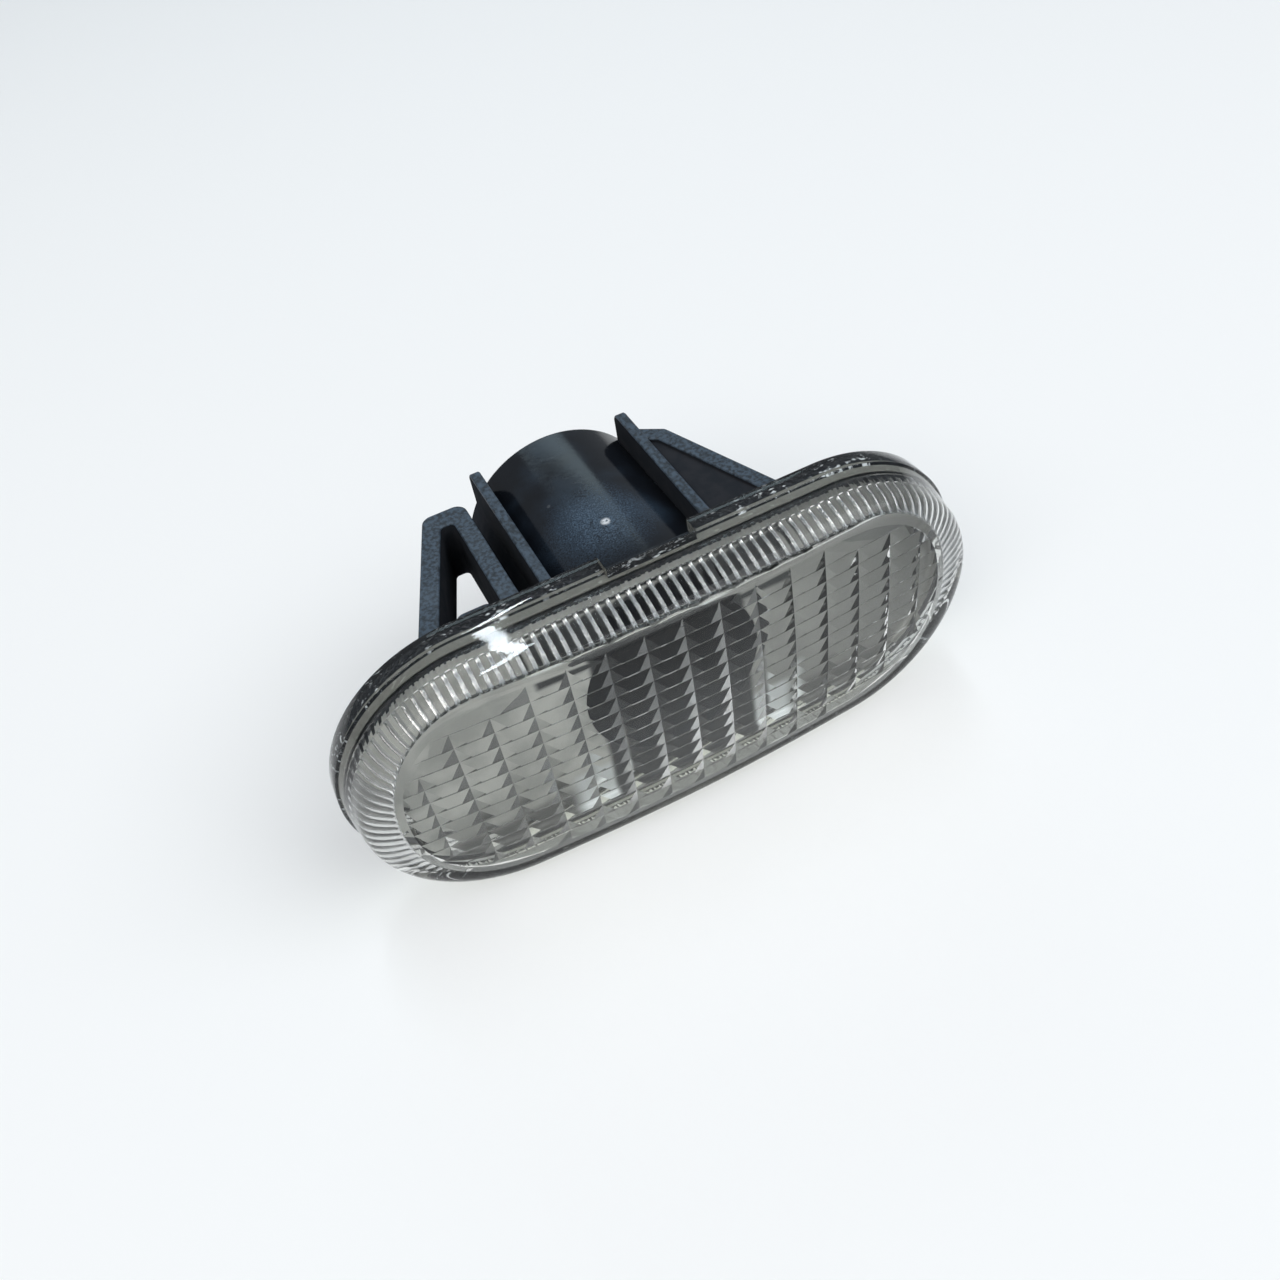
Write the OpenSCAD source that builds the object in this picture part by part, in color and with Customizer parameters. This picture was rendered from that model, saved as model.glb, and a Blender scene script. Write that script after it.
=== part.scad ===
// Side repeater lamp for a car wing: a clear moulded lens on a dark housing.
// Millimetres. X runs along the lamp, Z is up, the lens faces -Y and the
// housing goes through the body panel towards +Y. Y = 0 is the panel face.

/* [Lens outline] */
// length of the lens over its flange
lens_len = 104; // [96:1:120]
// height of the lens over its flange
lens_ht = 47.2; // [44:0.2:52]
// depth of the lens in front of the panel at its middle
lens_depth = 14.4; // [13.4:0.1:17]
// how far the front falls back towards the two ends
crown_x = 3.3; // [1.5:0.1:4.2]
// how far the front falls back towards the top and bottom
crown_z = 1.4; // [0.6:0.1:2.2]
// wall of the lens at the skirt
skirt_wall = 2.2; // [1.8:0.1:2.8]
// wall of the lens at the front
front_wall = 2.1; // [1.6:0.1:2.6]

/* [Lens skirt and flange] */
// width of the flange band that seats on the panel
flange_w = 3.2; // [2.6:0.1:4]
// how far the flange stands proud of the skirt
flange_step = 0.4; // [0.2:0.05:0.8]
// draw-in of the skirt from the flange to the shoulder
skirt_draw = 0.9; // [0.6:0.1:1.4]
// depth at which the shoulder begins to round
shoulder_start = 8.2; // [7:0.1:9]
// inset of the front's edge on the long sides
shoulder_side = 5.2; // [4:0.1:6.5]
// inset of the front's edge at the two ends
shoulder_end = 8.4; // [7:0.1:10]
// width of the notch in the top of the flange
notch_w = 14; // [8:0.5:20]
// how deep that notch is cut
notch_cut = 2.8; // [1.6:0.1:3.1]
// how far notch, barrel and fins sit off the lens's middle, towards the hooks
rear_shift = 0.8; // [0:0.1:1.5]

/* [Lens optics] */
// number of flutes round the inside of the shoulder
flutes = 152; // [120:4:170]
// height of each flute
flute_h = 0.6; // [0.3:0.05:0.8]
// depth of the flutes' outer ends behind the front of the flange
flute_start = 5.6; // [5:0.1:6.4]
// inset of the flutes' inner ends on the long sides
flute_side = 4.3; // [3.8:0.1:4.8]
// inset of the flutes' inner ends at the two ends
flute_end = 6.6; // [5.8:0.1:7.2]
// width of the plain strip between flutes and prisms
strip_w = 1.1; // [0.8:0.1:1.6]
// width of one prism
prism_w = 5.76; // [4.8:0.08:7.2]
// height of one prism
prism_h = 2.75; // [2.25:0.05:3]
// how deep each prism is sunk into the front from inside
prism_sink = 0.75; // [0.4:0.05:1]
// height of each prism's short lower slope
prism_step = 0.15; // [0.1:0.05:1]

/* [Housing base] */
// play between the housing and the lens skirt
weld_play = 0.2; // [0.1:0.05:0.3]
// thickness of the housing floor
floor_t = 1.8; // [1.4:0.1:2.4]
// wall of the housing rim inside the flange
rim_wall = 1.6; // [1.2:0.1:2.4]
// width of the sloping fillet round the floor
bowl_fillet = 1.2; // [0.6:0.1:1.4]

/* [Barrel] */
// outer diameter of the barrel at its rear
barrel_d = 33.4; // [31:0.2:35]
// length of the barrel behind the panel face
barrel_len = 38.5; // [34:0.5:44]
// wall of the barrel
barrel_wall = 2.2; // [1.6:0.1:3]
// how much wider the barrel is at its root
barrel_draft = 0.8; // [0.2:0.1:1.2]
// thickness of the barrel's rear wall
rear_wall = 2.6; // [2:0.1:3.4]
// diameter of the hole for the bulb holder
holder_d = 20.4; // [18:0.2:22]
// width of the raised collar round that hole
collar_w = 2.2; // [1.4:0.1:3]
// height of the raised collar
collar_h = 1.2; // [0.8:0.1:2]

/* [Guide fins] */
// distance between the middles of the two fins
fin_gap = 26.4; // [25:0.2:29]
// thickness of each fin
fin_t = 1.8; // [1.4:0.1:2.4]
// height of each fin above the lamp's middle
fin_top = 17; // [16:0.1:18]
// how far the fins reach behind the panel face
fin_len = 37; // [32:0.5:42]
// radius of the fins' rear corners
fin_round = 1.6; // [0.8:0.1:2.4]

/* [Spring clips] */
// width of each clip along the height of the lamp
clip_w = 11; // [8:0.2:12]
// how far the clip's bend reaches behind the panel face
clip_reach = 30.7; // [27:0.1:34]
// inner side of the clip's fixed leg from the lamp's middle
clip_in = 16.6; // [16:0.1:18]
// width of the clip across its bend
clip_span = 6.9; // [6:0.1:9]
// thickness of the clip at its bend
bend_t = 3.6; // [2.6:0.1:4.4]
// radius of the two corners of the clip's bend
clip_round = 1.9; // [1.2:0.1:2.4]
// thickness of the clip's fixed leg
leg_t = 2.9; // [2:0.1:3.2]
// thickness of the clip's spring leg
spring_t = 3; // [2.2:0.1:3.4]
// how far the spring leg's tip lies from the lamp's middle
clip_out = 34.4; // [32:0.2:36]
// gap between the spring leg's tip and the panel face
panel_gap = 1.6; // [1.2:0.1:2.4]

/* [Hook gussets] */
// how far the gusset's hook reaches behind the panel face
hook_reach = 31.1; // [27:0.1:34]
// width of the gusset's sloping bar
bar_t = 2.7; // [2:0.1:3.4]
// how far the bar's foot lies from the lamp's middle
hook_out = 29.4; // [27:0.2:31]
// how far the bar's knee lies from the fin
knee_out = 3.7; // [2.6:0.1:4.6]
// how far the knee lies in front of the hook's rear end
knee_drop = 2.6; // [1.6:0.1:3.6]
// thickness of the web between bar and fin
web_t = 1.6; // [1.2:0.1:2.4]
// how far the web is set in below the bar's edge
web_set = 0.8; // [0.4:0.1:3]

/* [Hidden] */
$fn = 96;
hh = lens_ht / 2;
half = lens_len / 2;
spine = half - hh;
eps = 0.02;

// Lens surfaces

// depth of the outer front at a point of the face
function front(x, z) =
    lens_depth - crown_x * pow(abs(x) / half, 1.8) - crown_z * pow(z / hh, 2);
function inner_front(x, z) = front(x, z) - front_wall;

// an inset that goes from its side value to its end value round the ends
function blend(side, end, nx) = side + (end - side) * pow(abs(nx), 3);

// a station is [spine point, normal x, normal z] at an angle or along a side
function arc_st(a) = [cos(a) >= 0 ? spine : -spine, cos(a), sin(a)];
function at(st, inset, depth) =
    [st[0] + st[1] * (hh - inset), -depth, st[2] * (hh - inset)];
function on_front(st, inset, lift) =
    let (p = at(st, inset, 0)) [p[0], -(inner_front(p[0], p[2]) - lift), p[2]];

// stations of the outer skin, close together at the walls of the notch
quarter = 12;
side_n = 18;
nick = 0.06;
side_even = [for (i = [0:side_n]) spine - 2 * spine * i / side_n];
notch_l = rear_shift - notch_w / 2;
notch_r = rear_shift + notch_w / 2;
function near_notch(x) = min(abs(x - notch_l), abs(x - notch_r)) < 1;
side_xs = concat(
    [for (x = side_even) if (x > notch_r && !near_notch(x)) x],
    [notch_r + nick, notch_r - nick],
    [for (x = side_even) if (x < notch_r && x > notch_l && !near_notch(x)) x],
    [notch_l + nick, notch_l - nick],
    [for (x = side_even) if (x < notch_l && !near_notch(x)) x]);
upper_st = concat(
    [for (i = [0:quarter - 1]) arc_st(90 * i / quarter)],
    [for (x = side_xs) [x, 0, 1]],
    [for (i = [1:quarter]) arc_st(90 + 90 * i / quarter)]);
un = len(upper_st);
skin_st = concat(upper_st, [for (i = [un - 2:-1:1]) let (s = upper_st[i]) [s[0], s[1], -s[2]]]);
sn = len(skin_st);

function in_notch(st) = st[2] == 1 && st[0] > notch_l && st[0] < notch_r;
function rear(st) = in_notch(st) ? notch_cut : 0;

// the shoulder is one curve from the skirt to the edge of the front
bends = 6;
function shoulder(st, t) =
    let (e = blend(shoulder_side, shoulder_end, st[1]),
         p = at(st, e, 0),
         d = front(p[0], p[2]),
         s0 = [flange_step + skirt_draw, shoulder_start],
         s1 = [flange_step + skirt_draw + 0.35, d + 0.1],
         s2 = [e, d],
         q = s0 * pow(1 - t, 2) + s1 * 2 * t * (1 - t) + s2 * t * t)
    at(st, q[0], q[1]);

outer_rings = concat(
    [[for (s = skin_st) at(s, 0, rear(s))]],
    [[for (s = skin_st) at(s, 0, flange_w)]],
    [[for (s = skin_st) at(s, flange_step, flange_w + 0.25)]],
    [for (k = [0:bends]) [for (s = skin_st) shoulder(s, k / bends)]]);
on = len(outer_rings);

// the front inside the shoulder, in strips from its top edge to its bottom edge
cap_n = 7;
last_ring = outer_rings[on - 1];
cap_pts = [for (i = [1:un - 2]) for (k = [1:cap_n - 1])
    let (p = last_ring[i], z = p[2] * (1 - 2 * k / cap_n)) [p[0], -front(p[0], z), z]];

// inner wall of the skirt, down to the ledge that the housing is welded to
in_flat = skirt_wall;
seat_depth = flange_w + 0.2;
ledge = skirt_wall + 0.75;
inner_rings = [
    [for (s = skin_st) at(s, in_flat, rear(s))],
    [for (s = skin_st) at(s, in_flat, seat_depth)],
    [for (s = skin_st) at(s, ledge, seat_depth)]];

// flutes: round ribs that run from the skirt over the inside of the shoulder
flute_r = hh - ledge;
arc_q = PI * flute_r / 2;
loop_len = 4 * arc_q + 4 * spine;
function along(s) =
    s < arc_q ? arc_st(90 * s / arc_q)
    : s < arc_q + 2 * spine ? [spine - (s - arc_q), 0, 1]
    : s < 3 * arc_q + 2 * spine ? arc_st(90 + 90 * (s - arc_q - 2 * spine) / arc_q)
    : s < 3 * arc_q + 4 * spine ? [-spine + (s - 3 * arc_q - 2 * spine), 0, -1]
    : arc_st(270 + 90 * (s - 3 * arc_q - 4 * spine) / arc_q);
per = 4;
fn_st = flutes * per;
flute_st = [for (i = [0:fn_st - 1]) along(loop_len * i / fn_st)];
wave = [0, 0.9, 1, 0.9];
end_run = 0.9;
function flute_tip(st) = on_front(st, blend(flute_side, flute_end, st[1]), 0);
function between(a, b, t) = a + (b - a) * t;
function ribbed(st, i, t) =
    let (a = at(st, ledge, flute_start),
         b = flute_tip(st),
         run = norm(b - a),
         c = between(a, b, t < 0.5 ? end_run / run : 1 - end_run / run),
         w = flute_h * wave[i % per])
    c + [-st[1] * w * 0.85, w * 0.5, -st[2] * w * 0.85];
flute_rings = [
    [for (s = flute_st) at(s, ledge, flute_start)],
    [for (i = [0:fn_st - 1]) ribbed(flute_st[i], i, 0)],
    [for (i = [0:fn_st - 1]) ribbed(flute_st[i], i, 1)],
    [for (s = flute_st) flute_tip(s)]];

// prism field: rows of small sunk prisms with hipped ends, cut off along a rounded outline
field_hh = hh - flute_side - strip_w;
field_half = half - flute_end - strip_w;
rows = 2 * floor((field_hh - prism_h / 2) / prism_h) + 1;
row_z = [for (j = [0:rows]) between(-field_hh, field_hh, j / rows)];
field_spine = field_half - field_hh;
function field_x(z) =
    field_spine + field_hh * pow(max(1 - pow(abs(z) / field_hh, 2.3), 0), 1 / 2.3);
function low_x(r) = min(field_x(row_z[r]), field_x(row_z[r + 1])) - 1.2;
row_k = [for (r = [0:rows - 1]) floor(low_x(r) / prism_w)];
line_k = [for (j = [0:rows])
    max(j > 0 ? row_k[j - 1] : 0, j < rows ? row_k[j] : 0)];
function subs(r) = r == 0 || r == rows - 1 ? 5 : 2;
function face_pt(x, z, lift) = [x, -(inner_front(x, z) - lift), z];

line_pts = [for (j = [0:rows]) let (z = row_z[j], e = field_x(z))
    concat([face_pt(-e, z, 0)],
        [for (k = [-line_k[j]:line_k[j]]) face_pt(k * prism_w, z, 0)],
        [face_pt(e, z, 0)])];
edge_pts = [for (r = [0:rows - 1]) for (side = [-1, 1]) for (m = [1:subs(r) - 1])
    let (z = between(row_z[r], row_z[r + 1], m / subs(r))) face_pt(side * field_x(z), z, 0)];
hip = 0.36;
function ridge_pair(x0, x1, z) =
    [face_pt(between(x0, x1, hip), z, -prism_sink), face_pt(between(x0, x1, 1 - hip), z, -prism_sink)];
ridge_pts = [for (r = [0:rows - 1]) let (z = row_z[r] + prism_step, e = field_x(z))
    for (c = [-row_k[r] - 1:row_k[r]]) for (p = ridge_pair(
        c < -row_k[r] ? -e : c * prism_w,
        c == row_k[r] ? e : (c + 1) * prism_w, z)) p];

// running totals, to find each point by its number
function upto(list, n) = n <= 0 ? 0 : list[n - 1] + upto(list, n - 1);
line_n = [for (j = [0:rows]) 2 * line_k[j] + 3];
edge_n = [for (r = [0:rows - 1]) 2 * (subs(r) - 1)];
ridge_n = [for (r = [0:rows - 1]) 4 * row_k[r] + 4];
function flat(list) = [for (a = list) for (b = a) b];

b_outer = 0;
b_cap = b_outer + on * sn;
b_inner = b_cap + len(cap_pts);
b_flute = b_inner + 3 * sn;
b_line = b_flute + 4 * fn_st;
b_edge = b_line + upto(line_n, rows + 1);
b_ridge = b_edge + len(edge_pts);

lens_pts = concat(flat(outer_rings), cap_pts, flat(inner_rings), flat(flute_rings),
    flat(line_pts), edge_pts, ridge_pts);

function ring_band(b0, b1, n, turn) = [for (i = [0:n - 1]) let (j = (i + 1) % n)
    for (f = turn ? [[b0 + i, b1 + i, b1 + j], [b0 + i, b1 + j, b0 + j]]
                  : [[b0 + i, b1 + j, b1 + i], [b0 + i, b0 + j, b1 + j]]) f];

// front cap: column i joins the upper station i to the lower one below it
function cap_id(i, k) =
    k == 0 || i == 0 || i == un - 1 ? b_outer + (on - 1) * sn + i
    : k == cap_n ? b_outer + (on - 1) * sn + (sn - i)
    : b_cap + (i - 1) * (cap_n - 1) + k - 1;
cap_faces = [for (i = [0:un - 2]) for (k = [0:cap_n - 1])
    let (a = cap_id(i, k), b = cap_id(i, k + 1), c = cap_id(i + 1, k + 1), d = cap_id(i + 1, k))
    for (f = [[a, b, c], [a, c, d]]) if (f[0] != f[1] && f[1] != f[2] && f[0] != f[2]) f];

// two loops with different counts are laced together by their polar angle
function turn_of(p) = let (a = atan2(p[2], p[0] * 0.5)) a < -0.0001 ? a + 360 : a;
function lace(pa, ia, pb, ib) =
    let (na = len(pa), nb = len(pb),
         ta = [for (i = [0:na]) i < na ? turn_of(pa[i]) : 360 + turn_of(pa[0])],
         tb = [for (i = [0:nb]) i < nb ? turn_of(pb[i]) : 360 + turn_of(pb[0])])
    concat(
        [for (i = [0:na - 1])
            let (k = len([for (j = [1:nb]) if (tb[j] < ta[i + 1]) 1]))
            [ia[i], ia[(i + 1) % na], ib[k % nb]]],
        [for (j = [0:nb - 1])
            let (k = len([for (i = [1:na]) if (ta[i] <= tb[j + 1]) 1]))
            [ib[(j + 1) % nb], ib[j], ia[k % na]]]);

function line_id(j, k) = b_line + upto(line_n, j) + 1 + k + line_k[j];
function line_end(j, side) = b_line + upto(line_n, j) + (side < 0 ? 0 : line_n[j] - 1);
function edge_id(r, side, m) =
    b_edge + upto(edge_n, r) + (side < 0 ? 0 : subs(r) - 1) + m - 1;
function ridge_id(r, c, s) = b_ridge + upto(ridge_n, r) + 2 * (c + row_k[r] + 1) + s;

// one prism: a triangle at each end and a slope above and below its deepest line
function fan(ids, apex) = [for (i = [0:len(ids) - 2]) [ids[i], ids[i + 1], apex]];
function turned(list) = [for (t = list) [t[1], t[0], t[2]]];
function cell(r, c) =
    let (k = row_k[r],
         left = c < -k ? concat([line_end(r, -1)], [for (m = [1:subs(r) - 1]) edge_id(r, -1, m)],
                [line_end(r + 1, -1)]) : [line_id(r, c), line_id(r + 1, c)],
         right = c == k ? concat([line_end(r, 1)], [for (m = [1:subs(r) - 1]) edge_id(r, 1, m)],
                [line_end(r + 1, 1)]) : [line_id(r, c + 1), line_id(r + 1, c + 1)],
         low = concat([left[0]],
             c < -k ? [for (q = [-line_k[r]:1:-k - 1]) line_id(r, q)] : [],
             c == k ? [for (q = [k + 1:1:line_k[r]]) line_id(r, q)] : [], [right[0]]),
         high = concat([left[len(left) - 1]],
             c < -k ? [for (q = [-line_k[r + 1]:1:-k - 1]) line_id(r + 1, q)] : [],
             c == k ? [for (q = [k + 1:1:line_k[r + 1]]) line_id(r + 1, q)] : [],
             [right[len(right) - 1]]),
         ra = ridge_id(r, c, 0), rb = ridge_id(r, c, 1))
    concat(
        turned(fan(left, ra)), fan(right, rb),
        fan(low, ra), [[rb, ra, low[len(low) - 1]]],
        turned(fan(high, ra)), [[ra, rb, high[len(high) - 1]]]);
field_faces = [for (r = [0:rows - 1]) for (c = [-row_k[r] - 1:row_k[r]]) for (f = cell(r, c)) f];

// the field's outline as one loop, from the middle of the right end
mid_r = (rows - 1) / 2;
loop_ids = concat(
    [edge_id(mid_r, 1, 1)],
    [for (r = [mid_r + 1:rows]) for (q = concat([line_end(r, 1)],
        r < rows ? [for (m = [1:subs(r) - 1]) edge_id(r, 1, m)] : [])) q],
    [for (k = [line_k[rows]:-1:-line_k[rows]]) line_id(rows, k)],
    [for (r = [rows:-1:mid_r + 1]) for (q = concat([line_end(r, -1)],
        [for (m = [subs(r - 1) - 1:-1:1]) edge_id(r - 1, -1, m)])) q],
    [for (r = [mid_r:-1:0]) for (q = concat([line_end(r, -1)],
        r > 0 ? [for (m = [subs(r - 1) - 1:-1:1]) edge_id(r - 1, -1, m)] : [])) q],
    [for (k = [-line_k[0]:line_k[0]]) line_id(0, k)],
    [for (r = [0:mid_r]) for (q = concat([line_end(r, 1)],
        r < mid_r ? [for (m = [1:subs(r) - 1]) edge_id(r, 1, m)] : [])) q]);

function ids(base, n) = [for (i = [0:n - 1]) base + i];
function pick(list) = [for (i = list) lens_pts[i]];
seat_ids = ids(b_inner + 2 * sn, sn);
root_ids = ids(b_flute, fn_st);
tip_ids = ids(b_flute + 3 * fn_st, fn_st);

lens_faces = concat(
    [for (k = [0:on - 2]) for (f = ring_band(b_outer + k * sn, b_outer + (k + 1) * sn, sn, true)) f],
    cap_faces,
    ring_band(b_outer, b_inner, sn, false),
    ring_band(b_inner, b_inner + sn, sn, false),
    ring_band(b_inner + sn, b_inner + 2 * sn, sn, false),
    lace(pick(seat_ids), seat_ids, pick(root_ids), root_ids),
    [for (k = [0:2]) for (f = ring_band(b_flute + k * fn_st, b_flute + (k + 1) * fn_st, fn_st, false)) f],
    lace(pick(tip_ids), tip_ids, pick(loop_ids), loop_ids),
    field_faces);

module lens() {
    color([0.82, 0.86, 0.84])
    polyhedron(points = lens_pts, faces = lens_faces, convexity = 12);
}

// Housing

// a flat shape drawn in X and Z, made thick from y0 to y1
module slab(y0, y1) {
    translate([0, y1, 0]) rotate([90, 0, 0]) linear_extrude(y1 - y0) children();
}

// a round-ended outline inset from the flange
module stadium(inset) {
    square([2 * spine, 2 * (hh - inset)], center = true);
    for (s = [-1, 1]) translate([s * spine, 0]) circle(r = hh - inset);
}

base_inset = skirt_wall + weld_play;
barrel_r = barrel_d / 2;
bore_r = barrel_r - barrel_wall;
rim_front = seat_depth;

module base() {
    difference() {
        slab(-rim_front, 0) stadium(base_inset);
        slab(-rim_front - 1, -floor_t) stadium(base_inset + rim_wall);
    }
    // the fillet round the floor, in two steps of slope
    for (k = [0:1]) difference() {
        slab(-floor_t - bowl_fillet * (k + 1) / 3, -floor_t + eps)
            stadium(base_inset + rim_wall - eps);
        slab(-rim_front - 1, 1) stadium(base_inset + rim_wall + bowl_fillet * (2 - k) / 3);
    }
}

module barrel() {
    translate([rear_shift, 0, 0]) rotate([-90, 0, 0]) {
        cylinder(r1 = barrel_r + barrel_draft, r2 = barrel_r, h = barrel_len);
        cylinder(r = holder_d / 2 + collar_w, h = barrel_len + collar_h);
    }
}

module bores() {
    translate([rear_shift, 0, 0]) rotate([-90, 0, 0]) {
        translate([0, 0, -rim_front - 1])
            cylinder(r = bore_r, h = barrel_len - rear_wall + rim_front + 1);
        translate([0, 0, barrel_len - rear_wall - 1])
            cylinder(d = holder_d, h = rear_wall + collar_h + 2);
    }
}

// one fin in side view, with round rear corners
module fin_plate() {
    rotate([0, -90, 0]) translate([0, 0, -fin_t / 2]) linear_extrude(fin_t) {
        translate([-fin_top, 0]) square([2 * fin_top, fin_len - fin_round]);
        translate([-fin_top + fin_round, 0]) square([2 * fin_top - 2 * fin_round, fin_len]);
        for (s = [-1, 1]) translate([s * (fin_top - fin_round), fin_len - fin_round])
            circle(r = fin_round);
    }
}

// an outline's corner q between p and s, rounded by an arc of short sides
arc_n = 5;
function unit(v) = v / norm(v);
function corner(p, q, s, r) = r == 0 ? [q] :
    let (a = unit(p - q), b = unit(s - q), half_turn = acos(a * b) / 2,
         mid = q + unit(a + b) * r / sin(half_turn),
         f = q + a * r / tan(half_turn) - mid, t = q + b * r / tan(half_turn) - mid,
         start = atan2(f[1], f[0]), turn = atan2(t[1], t[0]) - start,
         sweep = turn > 180 ? turn - 360 : turn < -180 ? turn + 360 : turn)
    [for (k = [0:arc_n]) mid + r * [cos(start + sweep * k / arc_n), sin(start + sweep * k / arc_n)]];

// an outline through points [x, y, radius]
function flat_pt(p) = [p[0], p[1]];
function outline(pts) = let (n = len(pts)) [for (i = [0:n - 1])
    for (p = corner(flat_pt(pts[(i + n - 1) % n]), flat_pt(pts[i]), flat_pt(pts[(i + 1) % n]), pts[i][2])) p];

clip_top = fin_top - 0.4;
fin_out = rear_shift + fin_gap / 2 + fin_t / 2;
edge_r = 0.5;

// the fixed leg stands on the floor, bends over and comes back as a spring leg
module clip_plan() {
    heel = [-clip_in - clip_span, clip_reach];
    tip = [-clip_out, panel_gap];
    d = unit(heel - tip);
    lean = d[0] / d[1];
    inner_tip = -clip_out + spring_t / d[1];
    under = clip_reach - bend_t;
    polygon(outline([
        [-clip_in, -eps, 0], [-clip_in, clip_reach, clip_round],
        [heel[0], heel[1], clip_round], [tip[0], tip[1], edge_r], [inner_tip, tip[1], edge_r],
        [inner_tip + (under - tip[1]) * lean, under, edge_r],
        [-clip_in - leg_t, under, edge_r], [-clip_in - leg_t, -eps, 0]]));
}

// the bar leaves the fin, turns at its knee and slopes down to the floor
knee = [fin_out + knee_out, hook_reach - knee_drop];
bar_n1 = let (d = unit([knee_out, -knee_drop])) [-d[1], d[0]];
bar_n2 = let (d = unit([hook_out, 0] - knee)) [-d[1], d[0]];
mitre = unit(bar_n1 + bar_n2) / (unit(bar_n1 + bar_n2) * bar_n1);
module hook_plan() {
    inside = knee - mitre * bar_t;
    polygon(outline([
        [fin_out - eps, hook_reach, 0], [knee[0], knee[1], bar_t / 2],
        [hook_out, -eps, 0], [hook_out - bar_t / bar_n2[0], -eps, 0],
        [inside[0], inside[1], edge_r], [fin_out - eps, hook_reach - bar_t / bar_n1[1], 0]]));
}

module web_plan() {
    polygon([[fin_out - eps, -eps], [hook_out - bar_t / 2, -eps],
        knee - mitre * bar_t / 2, [fin_out - eps, hook_reach - bar_t / 2]]);
}

module clips() {
    for (s = [0, 1]) mirror([0, 0, s]) {
        translate([0, 0, clip_top - clip_w]) linear_extrude(clip_w) {
            clip_plan();
            hook_plan();
        }
        translate([0, 0, clip_top - web_set - web_t]) linear_extrude(web_t) web_plan();
    }
}

module housing() {
    color([0.09, 0.1, 0.12])
    difference() {
        union() {
            base();
            barrel();
            for (s = [-1, 1]) translate([rear_shift + s * fin_gap / 2, 0, 0]) fin_plate();
            clips();
        }
        bores();
    }
}

lens();
housing();
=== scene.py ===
"""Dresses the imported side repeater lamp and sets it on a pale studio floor.

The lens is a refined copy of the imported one: a clear moulding with round
flutes and hipped prisms on its inside. The housing is drawn from the part's
own sizes with every edge rounded: a floor and rim that close the lens, a
barrel, two fins, two spring clips and two hooks.
"""

from __future__ import annotations

import logging
import math
from collections.abc import Iterable
from dataclasses import dataclass, field
from enum import Enum, auto
from functools import reduce

import bmesh
import bpy
import numpy as np
from bpy.types import ID, Material, Mesh, Node, NodeInputs, NodeOutputs, NodeSocket
from bpy.types import NodeTree, Object
from mathutils import Euler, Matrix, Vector


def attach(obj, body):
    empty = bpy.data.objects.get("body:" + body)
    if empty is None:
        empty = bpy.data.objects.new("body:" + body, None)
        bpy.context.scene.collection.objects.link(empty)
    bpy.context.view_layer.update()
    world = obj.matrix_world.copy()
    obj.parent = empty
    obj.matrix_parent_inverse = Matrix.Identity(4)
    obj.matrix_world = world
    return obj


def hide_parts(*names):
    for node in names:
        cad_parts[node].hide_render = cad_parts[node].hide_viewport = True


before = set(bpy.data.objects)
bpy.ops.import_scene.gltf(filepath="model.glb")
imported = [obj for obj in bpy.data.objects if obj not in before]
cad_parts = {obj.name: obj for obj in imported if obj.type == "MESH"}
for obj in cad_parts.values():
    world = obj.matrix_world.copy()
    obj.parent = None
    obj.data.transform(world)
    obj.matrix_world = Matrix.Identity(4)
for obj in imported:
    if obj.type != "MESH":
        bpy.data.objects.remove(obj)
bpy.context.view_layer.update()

log = logging.getLogger("side_repeater")
MM = 0.001
QUARTER = math.pi / 2
RUB_REACH = 0.0005

Points = np.ndarray
Colour = tuple[float, float, float]
Corner = tuple[float, float, float]
Span = tuple[float, float]
Face = tuple[int, ...]


class Region(Enum):
    """Parts of a moulding that are finished or shaded in their own way."""

    SKIN = auto()
    WALL = auto()
    FLUTE = auto()
    SPARKLE = auto()
    LOW = auto()
    PRISM = auto()
    HIP = auto()
    FAR_HIP = auto()
    BOND = auto()
    LIGHTER_WELD = auto()
    GLOSS = auto()
    FLANK = auto()
    FROST = auto()
    BOWL = auto()


# Shader nodes


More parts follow.
